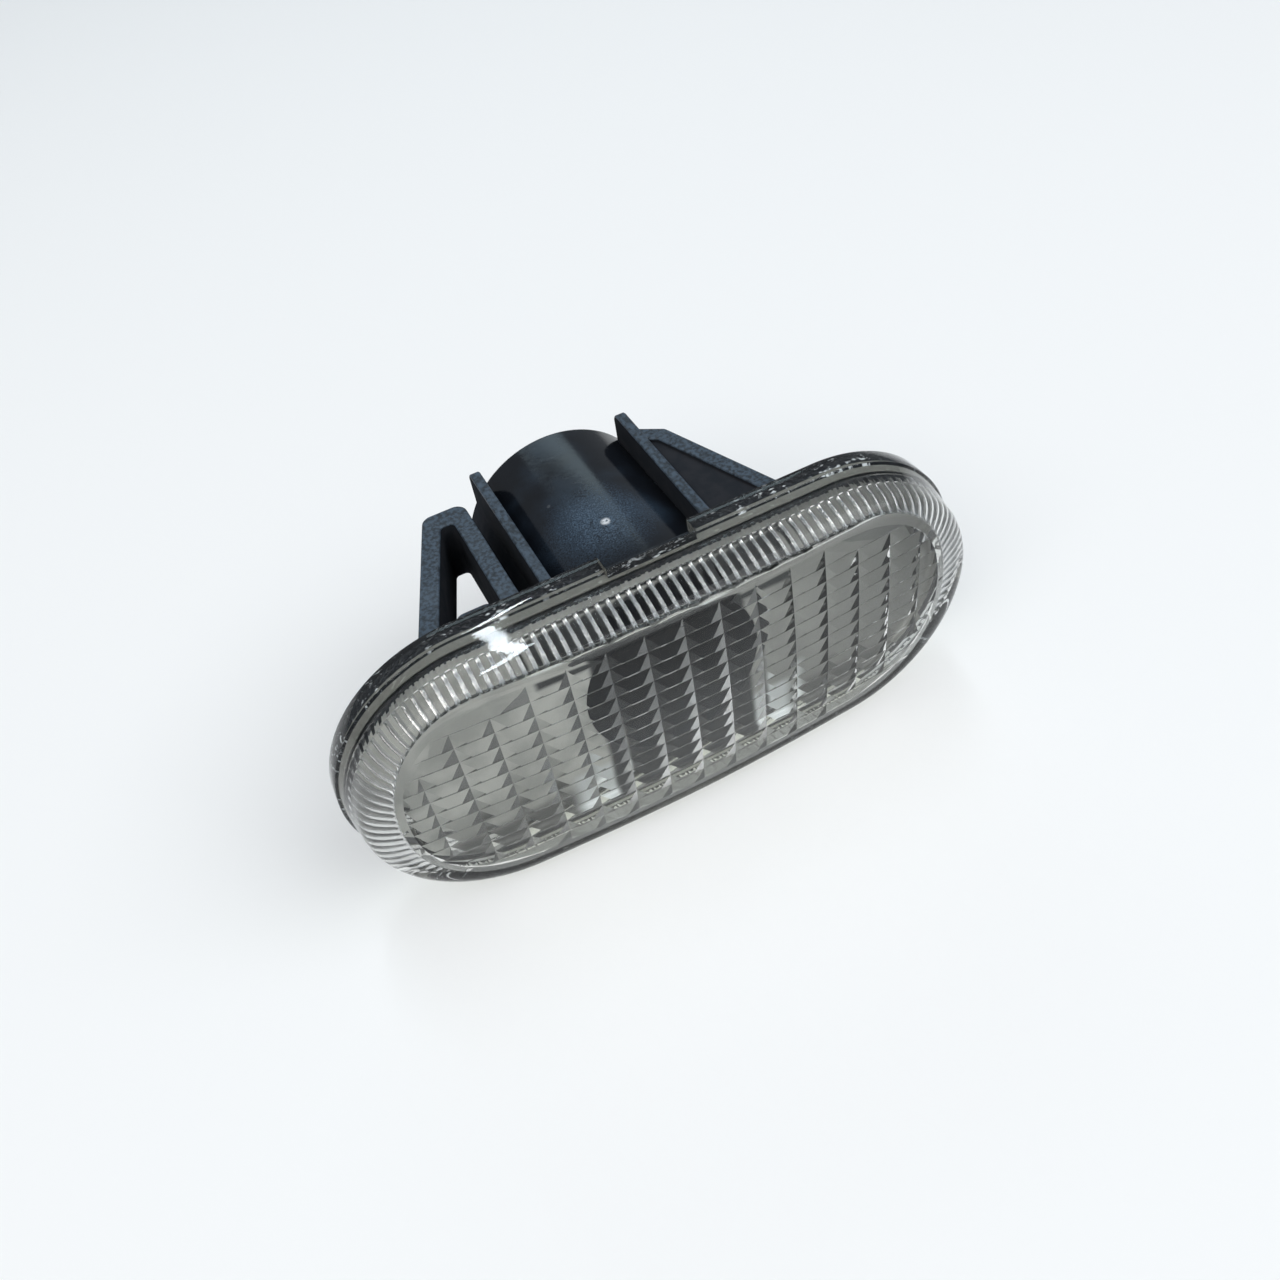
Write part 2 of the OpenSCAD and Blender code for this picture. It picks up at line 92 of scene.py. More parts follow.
class Shading:
    """Small helper that places and joins nodes in one node tree."""

    def __init__(self, tree: NodeTree) -> None:
        """Keeps the tree that nodes are added to."""
        self.tree = tree

    def feed(self, socket: NodeSocket, value: object) -> None:
        """Joins an output to a socket, or writes a plain value on it.

        Args:
            socket: The input socket.
            value: Another node's output, a number, or three numbers.
        """
        if isinstance(value, NodeSocket):
            self.tree.links.new(value, socket)
        elif socket.type == "RGBA":
            socket.default_value = (*value, 1.0)
        else:
            socket.default_value = value

    def fill(self, node: Node, feeds: dict[str | int, object]) -> None:
        """Feeds several inputs of a node, by name or number."""
        for key, value in feeds.items():
            self.feed(node.inputs[key], value)

    def put(
        self, kind: str, feeds: dict[str | int, object] | None = None, **settings: object
    ) -> Node:
        """Adds a node.

        Args:
            kind: The node's class name without its "ShaderNode" start.
            feeds: What its inputs get, by name or number.
            **settings: Properties of the node, by name.

        Returns:
            The new node.
        """
        made = self.tree.nodes.new(kind if kind.startswith("NodeGroup") else "ShaderNode" + kind)
        for name, value in settings.items():
            setattr(made, name, value)
        self.fill(made, feeds or {})
        return made

    def math(self, operation: str, *values: object, clamp: bool = False) -> NodeSocket:
        """Adds a Math node and returns its value."""
        feeds = dict(enumerate(values))
        return self.put("Math", feeds, operation=operation, use_clamp=clamp).outputs[0]

    def times(self, *values: object) -> NodeSocket:
        """Multiplies two or more values."""
        return reduce(lambda a, b: self.math("MULTIPLY", a, b), values)

    def mix(self, factor: object, low: object, high: object) -> NodeSocket:
        """Adds a colour mix and returns its result."""
        return self.put("Mix", {0: factor, 6: low, 7: high}, data_type="RGBA").outputs[2]

    def ramp(self, value: object, low: float, high: float) -> NodeSocket:
        """Adds a smooth 0 to 1 step between two limits."""
        feeds = {"Value": value, "From Min": low, "From Max": high}
        return self.put("MapRange", feeds, interpolation_type="SMOOTHSTEP").outputs[0]

    def noise(self, place: object, scale: object, detail: float = 4.0) -> NodeSocket:
        """Adds a noise texture and returns its grey value."""
        feeds = {"Vector": place, "Scale": scale, "Detail": detail}
        return self.put("TexNoise", feeds).outputs["Fac"]

    def specks(self, place: object, scale: object) -> NodeSocket:
        """Adds scattered cells and returns the distance to the nearest."""
        feeds = {"Vector": place, "Scale": scale}
        return self.put("TexVoronoi", feeds, feature="F1").outputs["Distance"]

    def bump(self, height: object, strength: float, depth: float = 0.0002) -> NodeSocket:
        """Adds a Bump node and returns its normal."""
        feeds = {"Strength": strength, "Distance": depth, "Height": height}
        return self.put("Bump", feeds).outputs["Normal"]

    def vector(self, operation: str, a: object, b: object = None) -> Node:
        """Adds a Vector Math node."""
        feeds = {0: a} if b is None else {0: a, 1: b}
        return self.put("VectorMath", feeds, operation=operation)

    def near(self, place: object, point: Corner, none: float, full: float) -> NodeSocket:
        """Fades in from one distance round a point to a shorter one."""
        return self.ramp(self.vector("DISTANCE", place, point).outputs["Value"], none, full)

    def split(self, vector: object) -> NodeOutputs:
        """Splits a vector into X, Y and Z."""
        return self.put("SeparateXYZ", {0: vector}).outputs

    def place(self) -> NodeSocket:
        """Returns the coordinates of the piece itself, in metres."""
        return self.put("TexCoord").outputs["Object"]


def new_group(
    name: str, inputs: dict[str, float], outputs: Iterable[str]
) -> tuple[NodeTree, Shading, NodeOutputs, NodeInputs]:
    """Makes a node group that has a Place input beside its own sockets.

    Args:
        name: The group's name.
        inputs: First values of its number inputs, by name.
        outputs: Names of its number outputs.

    Returns:
        The group, its shading helper, what comes in and what goes out.
    """
    group = bpy.data.node_groups.new(name, "ShaderNodeTree")
    face, number = group.interface, "NodeSocketFloat"
    face.new_socket(name="Place", in_out="INPUT", socket_type="NodeSocketVector")
    for label, value in inputs.items():
        face.new_socket(name=label, in_out="INPUT", socket_type=number).default_value = value
    for label in outputs:
        face.new_socket(name=label, in_out="OUTPUT", socket_type=number)
    s = Shading(group)
    return group, s, s.put("NodeGroupInput").outputs, s.put("NodeGroupOutput").inputs


def grain_group() -> NodeTree:
    """Builds the fine moulded grain that plastic surfaces share.

    Returns:
        A group with Place and Scale in, and Height and Mottle out.
    """
    group, s, given, out = new_group("moulded_grain", {"Scale": 900.0}, ("Height", "Mottle"))
    s.feed(out["Height"], s.noise(given["Place"], given["Scale"], 5.0))
    broad = s.noise(given["Place"], s.times(given["Scale"], 0.3), 5.0)
    s.feed(out["Mottle"], s.ramp(broad, 0.36, 0.64))
    return group


def dust_group() -> NodeTree:
    """Builds the dust that lies on upward faces and in specks.

    Returns:
        A group with Place, Speck Scale and Amount in, and Dust out.
    """
    inputs = {"Speck Scale": 700.0, "Amount": 0.5}
    group, s, given, out = new_group("settled_dust", inputs, ("Dust",))
    spots = s.ramp(s.specks(given["Place"], given["Speck Scale"]), 0.2, 0.05)
    drift = s.ramp(s.noise(given["Place"], 90.0, 6.0), 0.45, 0.72)
    upward = s.ramp(s.split(s.put("NewGeometry").outputs["Normal"])["Z"], -0.1, 0.9)
    both = s.math("MAXIMUM", s.times(spots, drift), s.times(drift, upward, 0.6))
    s.feed(out["Dust"], s.math("MULTIPLY", both, given["Amount"], clamp=True))
    return group


def wear_group() -> NodeTree:
    """Builds the pale rubbed look of a plastic part's edges.

    Returns:
        A group with Place, Reach and Amount in, and Wear out.
    """
    inputs = {"Reach": 0.0006, "Amount": 1.0}
    group, s, given, out = new_group("edge_rub", inputs, ("Wear",))
    rounded_off = s.put("Bevel", {"Radius": given["Reach"]}, samples=4).outputs[0]
    flat = s.put("NewGeometry").outputs["True Normal"]
    edge = s.ramp(s.vector("DOT_PRODUCT", rounded_off, flat).outputs["Value"], 0.99, 0.86)
    rub = s.ramp(s.noise(given["Place"], 420.0), 0.38, 0.62)
    s.feed(out["Wear"], s.math("MULTIPLY", s.times(edge, rub), given["Amount"], clamp=True))
    return group


@dataclass
class GroupShelf:
    """The shared node groups, built once."""

    grain: NodeTree = field(default_factory=grain_group)
    dust: NodeTree = field(default_factory=dust_group)
    wear: NodeTree = field(default_factory=wear_group)

    def put(
        self, s: Shading, group: NodeTree, where: object, **values: float
    ) -> NodeOutputs:
        """Places one group in a material.

        Args:
            s: The material's shading helper.
            group: The group to place.
            where: The coordinates that its pattern follows.
            **values: Values of its inputs, with _ for a space in a name.

        Returns:
            What the group gives.
        """
        made = s.put("Group", node_tree=group)
        s.fill(made, {"Place": where} | {k.replace("_", " "): v for k, v in values.items()})
        return made.outputs


def new_material(name: str) -> tuple[Material, Shading, Node]:
    """Makes an empty node material.

    Args:
        name: The material's name.

    Returns:
        The material, its shading helper and its Principled node.
    """
    made = bpy.data.materials.new(name)
    made.use_nodes = True
    return made, Shading(made.node_tree), made.node_tree.nodes["Principled BSDF"]


# Finishes


@dataclass(frozen=True)
class ClearPlastic:
    """Finish of the clear lens moulding, a little dusty and scuffed."""

    name: str = "clear_lens_plastic"
    tint: Colour = (0.93, 0.935, 0.915)
    # Painted shade: the colour the lens's ends fade to, the same as tint unless a copy shades its
    # ends.
    shaded_end_tint: Colour = (0.93, 0.935, 0.915)
    shade: Colour = (0.86, 0.87, 0.85)
    dust_tint: Colour = (0.55, 0.55, 0.52)
    ior: float = 1.49
    gloss: float = 0.03
    scuff: float = 0.2
    dust: float = 0.12
    ripple: float = 0.02
    ripple_scale: float = 500.0
    blur: float = 0.2
    blur_and_shade_from: float = 9.0
    blur_and_shade_run: float = 0.016
    mirror: float = 0.5
    clear: float = 1.0

    def build(self, shelf: GroupShelf) -> Material:
        """Builds the material.

        Args:
            shelf: The shared node groups.

        Returns:
            The finished material.
        """
        made, s, shader = new_material(self.name)
        where = s.place()
        dust = shelf.put(s, shelf.dust, where, Amount=self.dust)["Dust"]
        grain = shelf.put(s, shelf.grain, where, Scale=self.ripple_scale)["Height"]
        aside = s.math("ABSOLUTE", s.split(where)["X"])
        # Towards the ends the finish blurs, and its colour fades to the painted shade of the ends.
        ends = s.ramp(aside, self.blur_and_shade_from, self.blur_and_shade_from + self.blur_and_shade_run)
        body = s.mix(ends, self.tint, self.shaded_end_tint)
        rough = s.math("ADD", self.gloss, s.times(dust, self.scuff))
        s.fill(shader, {
            "Base Color": s.mix(dust, body, self.dust_tint),
            "Roughness": s.math("ADD", rough, s.times(ends, self.blur)),
            "Transmission Weight": self.clear,
            "IOR": self.ior,
            "Specular Tint": (self.mirror, self.mirror, self.mirror),
            "Normal": s.bump(grain, self.ripple),
        })
        see = s.put("BsdfTransparent", {"Color": self.shade}).outputs[0]
        shadow = s.put("LightPath").outputs["Is Shadow Ray"]
        both = s.put("MixShader", {0: shadow, 1: shader.outputs[0], 2: see}).outputs[0]
        s.feed(made.node_tree.nodes["Material Output"].inputs["Surface"], both)
        return made


@dataclass(frozen=True)
class WeldLine:
    """Finish of the weld behind the flange: black, with broken bubbles painted bright as glints."""

    name: str = "weld_line"
    black: Colour = (0.012, 0.014, 0.018)
    # Painted glint: the colour of the weld's bubbles.
    bubble_glint: Colour = (0.62, 0.66, 0.70)
    gloss: float = 0.2
    stretch: Corner = (0.45, 1.0, 1.0)
    bubble_scale: float = 1900.0
    bubble_run: Span = (0.57, 0.66)
    patch_scale: float = 260.0
    patch_run: Span = (0.44, 0.6)
    grain_scale: float = 1500.0
    relief: float = 0.8
    relief_depth: float = 0.0004

    def build(self, shelf: GroupShelf) -> Material:
        """Builds the material.

        Args:
            shelf: The shared node groups.

        Returns:
            The finished material.
        """
        made, s, shader = new_material(self.name)
        where = s.place()
        grain = shelf.put(s, shelf.grain, where, Scale=self.grain_scale)["Height"]
        drawn = s.put("Mapping", {"Vector": where, "Scale": self.stretch}).outputs["Vector"]
        fine = s.ramp(s.noise(drawn, self.bubble_scale, 3.0), *self.bubble_run)
        patch = s.ramp(s.noise(where, self.patch_scale, 3.0), *self.patch_run)
        s.fill(shader, {
            # The bubbles' pale colour is a painted glint.
            "Base Color": s.mix(s.times(fine, patch), self.black, self.bubble_glint),
            "Roughness": self.gloss,
            "Normal": s.bump(grain, self.relief, self.relief_depth),
        })
        return made


@dataclass(frozen=True)
class GlossBlack:
    """Finish of the housing's moulded black surfaces, with dust and rubs, partly tinted as a
    painted blue sheen.
    """

    black: Colour = (0.006, 0.0075, 0.0105)
    rubbed: Colour = (0.05, 0.065, 0.085)
    # Partly dust, partly a painted blue sky sheen: the dust and the barrel's rubbed patch take this
    # blue.
    dust_tint: Colour = (0.095, 0.16, 0.245)
    chalk: Colour = (0.6, 0.63, 0.66)
    gloss: float = 0.13
    mirror: float = 0.35
    scuff_and_sheen_at: Corner = (-0.0003, 0.0139, 0.0162)
    scuff_and_sheen_reach: float = 0.012
    scuff_and_sheen_skin: Span = (0.0153, 0.0158)
    spot_at: Corner = (0.0003, 0.0129, 0.0171)
    spot_reach: Span = (0.001, 0.0004)
    scuff_and_sheen_scale: float = 4200.0
    scuff_and_sheen_run: Span = (0.25, 0.85)
    scuff_and_sheen_level: float = 0.85
    spot_scale: float = 2200.0
    spot_run: Span = (0.36, 0.5)
    speck_scale: float = 170.0
    speck_run: Span = (0.07, 0.04)
    speck_level: float = 0.8
    grain_scale: float = 1100.0
    relief: float = 0.07
    dusty: float = 0.16
    worn: float = 0.6
    dust_gloss: float = 0.45
    wear_gloss: float = 0.3

    def marks(self, s: Shading, where: NodeSocket) -> tuple[NodeSocket, NodeSocket]:
        """Draws the barrel's rubbed patch, part scuff and part painted blue sheen, and the chalky
        marks in it.

        Args:
            s: The material's shading helper.
            where: The piece's own coordinates.

        Returns:
            How much scuff with painted sheen there is, and how much chalk.
        """
        near = s.near(where, self.scuff_and_sheen_at, self.scuff_and_sheen_reach, 0.0)
        across = s.vector("MULTIPLY", where, (1.0, 0.0, 1.0)).outputs[0]
        radius = s.vector("LENGTH", across).outputs["Value"]
        near = s.times(near, s.ramp(radius, *self.scuff_and_sheen_skin))
        rub = s.ramp(s.noise(where, self.scuff_and_sheen_scale, 8.0), *self.scuff_and_sheen_run)
        scuff = s.times(near, rub, self.scuff_and_sheen_level)
        spot = s.near(where, self.spot_at, *self.spot_reach)
        spot = s.times(spot, s.ramp(s.noise(where, self.spot_scale, 3.0), *self.spot_run))
        speck = s.ramp(s.specks(where, self.speck_scale), *self.speck_run)
        speck = s.times(speck, near, self.speck_level)
        return scuff, s.math("MAXIMUM", spot, speck)

    def build(self, shelf: GroupShelf) -> Material:
        """Builds the material.

        Args:
            shelf: The shared node groups.

        Returns:
            The finished material.
        """
        made, s, shader = new_material("gloss_black_plastic")
        where = s.place()
        grain = shelf.put(s, shelf.grain, where, Scale=self.grain_scale)["Height"]
        dust = shelf.put(s, shelf.dust, where, Amount=self.dusty, Speck_Scale=500.0)["Dust"]
        wear = shelf.put(s, shelf.wear, where, Reach=RUB_REACH, Amount=self.worn)["Wear"]
        scuff, chalky = self.marks(s, where)
        # Dust and the barrel's patch turn blue: dust and scuff with a painted sky sheen.
        body = s.mix(dust, self.black, self.dust_tint)
        body = s.mix(chalky, s.mix(scuff, body, self.dust_tint), self.chalk)
        matt = s.times(s.math("MAXIMUM", dust, scuff), self.dust_gloss)
        rough = s.math("ADD", self.gloss, matt)
        s.fill(shader, {
            "Base Color": s.mix(wear, body, self.rubbed),
            "Roughness": s.math("ADD", rough, s.times(wear, self.wear_gloss), clamp=True),
            "Specular IOR Level": self.mirror,
            "Normal": s.bump(grain, self.relief),
        })
        return made


@dataclass(frozen=True)
class DullFlank:
    """Finish of the plates' broad faces, which hardly shine."""

    black: Colour = (0.021, 0.024, 0.029)
    worn: Colour = (0.027, 0.029, 0.034)
    gloss: float = 0.65
    ior: float = 1.05
    mirror: float = 0.1
    grain_scale: float = 1400.0
    relief: float = 0.04

    def build(self, shelf: GroupShelf) -> Material:
        """Builds the material.

        Args:
            shelf: The shared node groups.

        Returns:
            The finished material.
        """
        made, s, shader = new_material("dull_black_plastic")
        grain = shelf.put(s, shelf.grain, s.place(), Scale=self.grain_scale)
        s.fill(shader, {
            "Base Color": s.mix(grain["Mottle"], self.black, self.worn),
            "Roughness": self.gloss,
            "IOR": self.ior,
            "Specular IOR Level": self.mirror,
            "Normal": s.bump(grain["Height"], self.relief),
        })
        return made


@dataclass(frozen=True)
class FrostedEdge:
    """Finish of the fins', clips' and hooks' narrow faces, blue-grey and mottled."""

    deep: Colour = (0.009, 0.015, 0.023)
    pale: Colour = (0.052, 0.078, 0.11)
    rubbed: Colour = (0.13, 0.17, 0.21)
    gloss: float = 0.42
    mottle_gloss: float = 0.2
    grain_scale: float = 5200.0
    relief: float = 0.35
    dusty: float = 0.6
    worn: float = 0.5

    def build(self, shelf: GroupShelf) -> Material:
        """Builds the material.

        Args:
            shelf: The shared node groups.

        Returns:
            The finished material.
        """
        made, s, shader = new_material("frosted_black_plastic")
        where = s.place()
        grain = shelf.put(s, shelf.grain, where, Scale=self.grain_scale)
        dust = shelf.put(s, shelf.dust, where, Amount=0.5, Speck_Scale=1300.0)["Dust"]
        wear = shelf.put(s, shelf.wear, where, Reach=RUB_REACH, Amount=0.8)["Wear"]
        body = s.mix(grain["Mottle"], self.deep, self.pale)
        body = s.mix(s.times(dust, self.dusty), body, self.rubbed)
        matt = s.times(grain["Mottle"], self.mottle_gloss)
        s.fill(shader, {
            "Base Color": s.mix(s.times(wear, self.worn), body, self.rubbed),
            "Roughness": s.math("ADD", self.gloss, matt, clamp=True),
            "Normal": s.bump(grain["Height"], self.relief),
        })
        return made


@dataclass(frozen=True)
class SatinBowl:
    """Finish of the pale satin bowl behind the lens, black round and below the barrel's mouth, with
    painted shade and painted light on it.
    """

    pale: Colour = (0.56, 0.562, 0.545)
    deep: Colour = (0.37, 0.374, 0.363)
    # Painted shade: the bowl darkens towards +X.
    side_shade: Colour = (0.2, 0.203, 0.196)
    side_shade_run: Span = (-0.02, 0.05)
    # Painted shade on the bowl's lower part.
    shade: Colour = (0.1, 0.102, 0.1)
    shade_run: Span = (-0.0135, -0.017)
    # Painted light: pale patches low down on both sides of the bowl.
    light: Colour = (0.72, 0.75, 0.78)
    light_in: Span = (0.012, 0.0135)
    light_out: Span = (0.021, 0.018)
    light_below: Span = (-0.0115, -0.0135)
    # A black zone round and below the barrel's mouth.
    dark_zone: Colour = (0.012, 0.014, 0.017)
    dark_zone_middle: float = 0.0008
    dark_zone_half: float = 0.0128
    dark_zone_wide: float = 0.021
    dark_zone_top: float = 0.0155
    dark_zone_step: float = 0.0085
    soft: float = 0.0006
    soft_z: float = 0.001
    gloss: float = 0.38
    sheen: float = 0.35
    grain_scale: float = 420.0
    relief: float = 0.15

    def build(self, shelf: GroupShelf) -> Material:
        """Builds the material.

        Args:
            shelf: The shared node groups.

        Returns:
            The finished material.
        """
        made, s, shader = new_material("satin_bowl")
        where = s.place()
        grain = shelf.put(s, shelf.grain, where, Scale=self.grain_scale)
        at = s.split(where)
        # A black zone round and below the barrel's mouth.
        aside = s.math("ABSOLUTE", s.math("SUBTRACT", at["X"], self.dark_zone_middle))
        narrow, wide = (
            s.ramp(aside, half + self.soft, half - self.soft)
            for half in (self.dark_zone_half, self.dark_zone_wide)
        )
        high = s.ramp(at["Z"], self.dark_zone_step, self.dark_zone_step + self.soft_z)
        below = s.ramp(at["Z"], self.dark_zone_top, self.dark_zone_top - self.soft_z)
        dark_zone = s.times(s.math("MAXIMUM", narrow, s.times(wide, high)), below)
        body = s.mix(grain["Mottle"], self.deep, self.pale)
        # Painted shade, darker towards +X.
        body = s.mix(s.ramp(at["X"], *self.side_shade_run), body, self.side_shade)
        # Painted shade, darker low down.
        body = s.mix(s.ramp(at["Z"], *self.shade_run), body, self.shade)
        # Painted light: pale patches low down at both sides.
        lit = s.times(s.ramp(aside, *self.light_in), s.ramp(aside, *self.light_out))
        lit = s.times(lit, s.ramp(at["Z"], *self.light_below))
        body = s.mix(lit, body, self.light)
        s.fill(shader, {
            "Base Color": s.mix(dark_zone, body, self.dark_zone),
            "Roughness": self.gloss,
            "Metallic": s.times(s.math("SUBTRACT", 1.0, dark_zone), self.sheen),
            "Normal": s.bump(grain["Height"], self.relief),
        })
        return made


@dataclass(frozen=True)
class PaleFloor:
    """Finish of the studio floor."""

    colour: Colour = (0.92, 0.92, 0.92)
    gloss: float = 0.9
    mirror: float = 0.1

    def build(self) -> Material:
        """Builds the floor's plain matt material.

        Returns:
            The finished material.
        """
        made, s, shader = new_material("studio_floor")
        s.fill(shader, {
            "Base Color": self.colour,
            "Roughness": self.gloss,
            "Specular IOR Level": self.mirror,
        })
        return made


# Mesh making


def rounded(corners: list[Corner], steps: int = 6) -> Points:
    """Draws a closed outline through corners with round turns.

    Args:
        corners: Points with the radius of each turn, as (a, b, radius).
        steps: Sides of each arc.

    Returns:
        The outline's points.
    """
    out: list[Points] = []
    for i, (*middle, r) in enumerate(corners):
        q = np.array(middle)
        if r == 0:
            out.append(q)
            continue
        a = np.array(corners[i - 1][:2]) - q
        b = np.array(corners[(i + 1) % len(corners)][:2]) - q
        a, b = a / np.linalg.norm(a), b / np.linalg.norm(b)
        half = math.acos(float(a @ b)) / 2
        middle = q + (a + b) / np.linalg.norm(a + b) * r / math.sin(half)
        start = q + a * r / math.tan(half) - middle
        end = q + b * r / math.tan(half) - middle
        t0 = math.atan2(start[1], start[0])
        sweep = (math.atan2(end[1], end[0]) - t0 + math.pi) % (2 * math.pi) - math.pi
        for k in range(steps + 1):
            t = t0 + sweep * k / steps
            out.append(middle + r * np.array([math.cos(t), math.sin(t)]))
    return np.array(out)


def inset_outline(outline: Points, depth: float) -> Points:
    """Moves an outline inwards by an even depth.

    Args:
        outline: A closed outline.
        depth: How far each side moves.

    Returns:
        The inner outline, point for point.
    """
    ahead = np.roll(outline, -1, axis=0) - outline
    ahead /= np.linalg.norm(ahead, axis=1)[:, None]
    after = np.roll(outline, -1, axis=0)
    area = float(np.sum(outline[:, 0] * after[:, 1] - outline[:, 1] * after[:, 0]))
    turn = 1.0 if area > 0 else -1.0
    normal = np.stack([-ahead[:, 1], ahead[:, 0]], axis=1) * turn
    total = normal + np.roll(normal, 1, axis=0)
    total /= np.linalg.norm(total, axis=1)[:, None]
    reach = np.sum(total * normal, axis=1)
    return outline + total * (depth / np.maximum(reach, 0.4))[:, None]


def loop_stations(spine: float, arc_steps: int, xs: Iterable[float]) -> tuple[Points, int]:
    """Stations round an outline with two straight sides and two round ends.

    Args:
        spine: Half the length of the straight sides.
        arc_steps: Steps of each quarter turn.
        xs: Where the stations of the upper straight side lie, from right to left.

    Returns:
        Rows of (x of the turn's centre, way along X, way along Z), and how
        many of them lie on the upper half.
    """
    turns = np.linspace(0, QUARTER, arc_steps + 1)[:-1]
    arc = [(spine, math.cos(t), math.sin(t)) for t in turns]
    back = [(-s[0], -s[1], s[2]) for s in reversed(arc)]
    upper = arc + [(x, 0.0, 1.0) for x in xs] + back
    lower = [(s[0], s[1], -s[2]) for s in upper[-2:0:-1]]
    return np.array(upper + lower), len(upper)


@dataclass
class Moulding:
    """A mesh in the making, in millimetres, with a region for each face."""

    points: list[Points] = field(default_factory=list)
    faces: list[Face] = field(default_factory=list)
    regions: list[Region] = field(default_factory=list)
    count: int = 0

    def keep(self, pts: Points) -> Points:
        """Stores points.

        Args:
            pts: Rows of X, Y and Z.

        Returns:
            Their numbers.
        """
        first = self.count
        self.points.append(pts)
        self.count += len(pts)
        return np.arange(first, self.count)

    def add(self, face: Face, region: Region) -> None:
        """Stores one face."""
        self.faces.append(face)
        self.regions.append(region)

    def band(self, a: Points, b: Points, looks: Region | np.ndarray) -> None:
        """Joins two closed rings of equal count with quads.

        Args:
            a: Numbers of one ring's points.
            b: Numbers of the other's.
            looks: The region of all the quads, or one for each.
        """
        quads = zip(a, np.roll(a, -1), np.roll(b, -1), b)
        for quad, region in zip(quads, np.broadcast_to(looks, len(a))):
            self.add(quad, region)

    def mesh(self, name: str) -> Mesh:
        """Turns what is stored into a smooth mesh in metres.

        Args:
            name: The mesh's name.

        Returns:
            The new mesh.
        """
        made = bpy.data.meshes.new(name)
        verts = np.concatenate(self.points) * MM
        made.from_pydata(verts.tolist(), [], [tuple(int(i) for i in f) for f in self.faces])
        made.shade_smooth()
        return made

    @staticmethod
    def face_out(made: Mesh) -> None:
        """Turns every face of a closed mesh outwards.

        Args:
            made: The mesh.
        """
        bm = bmesh.new()
        bm.from_mesh(made)
        bmesh.ops.recalc_face_normals(bm, faces=bm.faces)
        bm.to_mesh(made)
        bm.free()

    def finish(self, made: Mesh, slots: dict[Region, int]) -> Object:
        """Sets each face's material slot and puts the mesh in the scene.

        Args:
            made: The mesh.
            slots: The material slot of each region that isn't in the first.

        Returns:
            The new object.
        """
        index = [slots.get(region, 0) for region in self.regions]
        made.polygons.foreach_set("material_index", index)
        piece = bpy.data.objects.new(made.name, made)
        bpy.context.scene.collection.objects.link(piece)
        return piece


# The lens


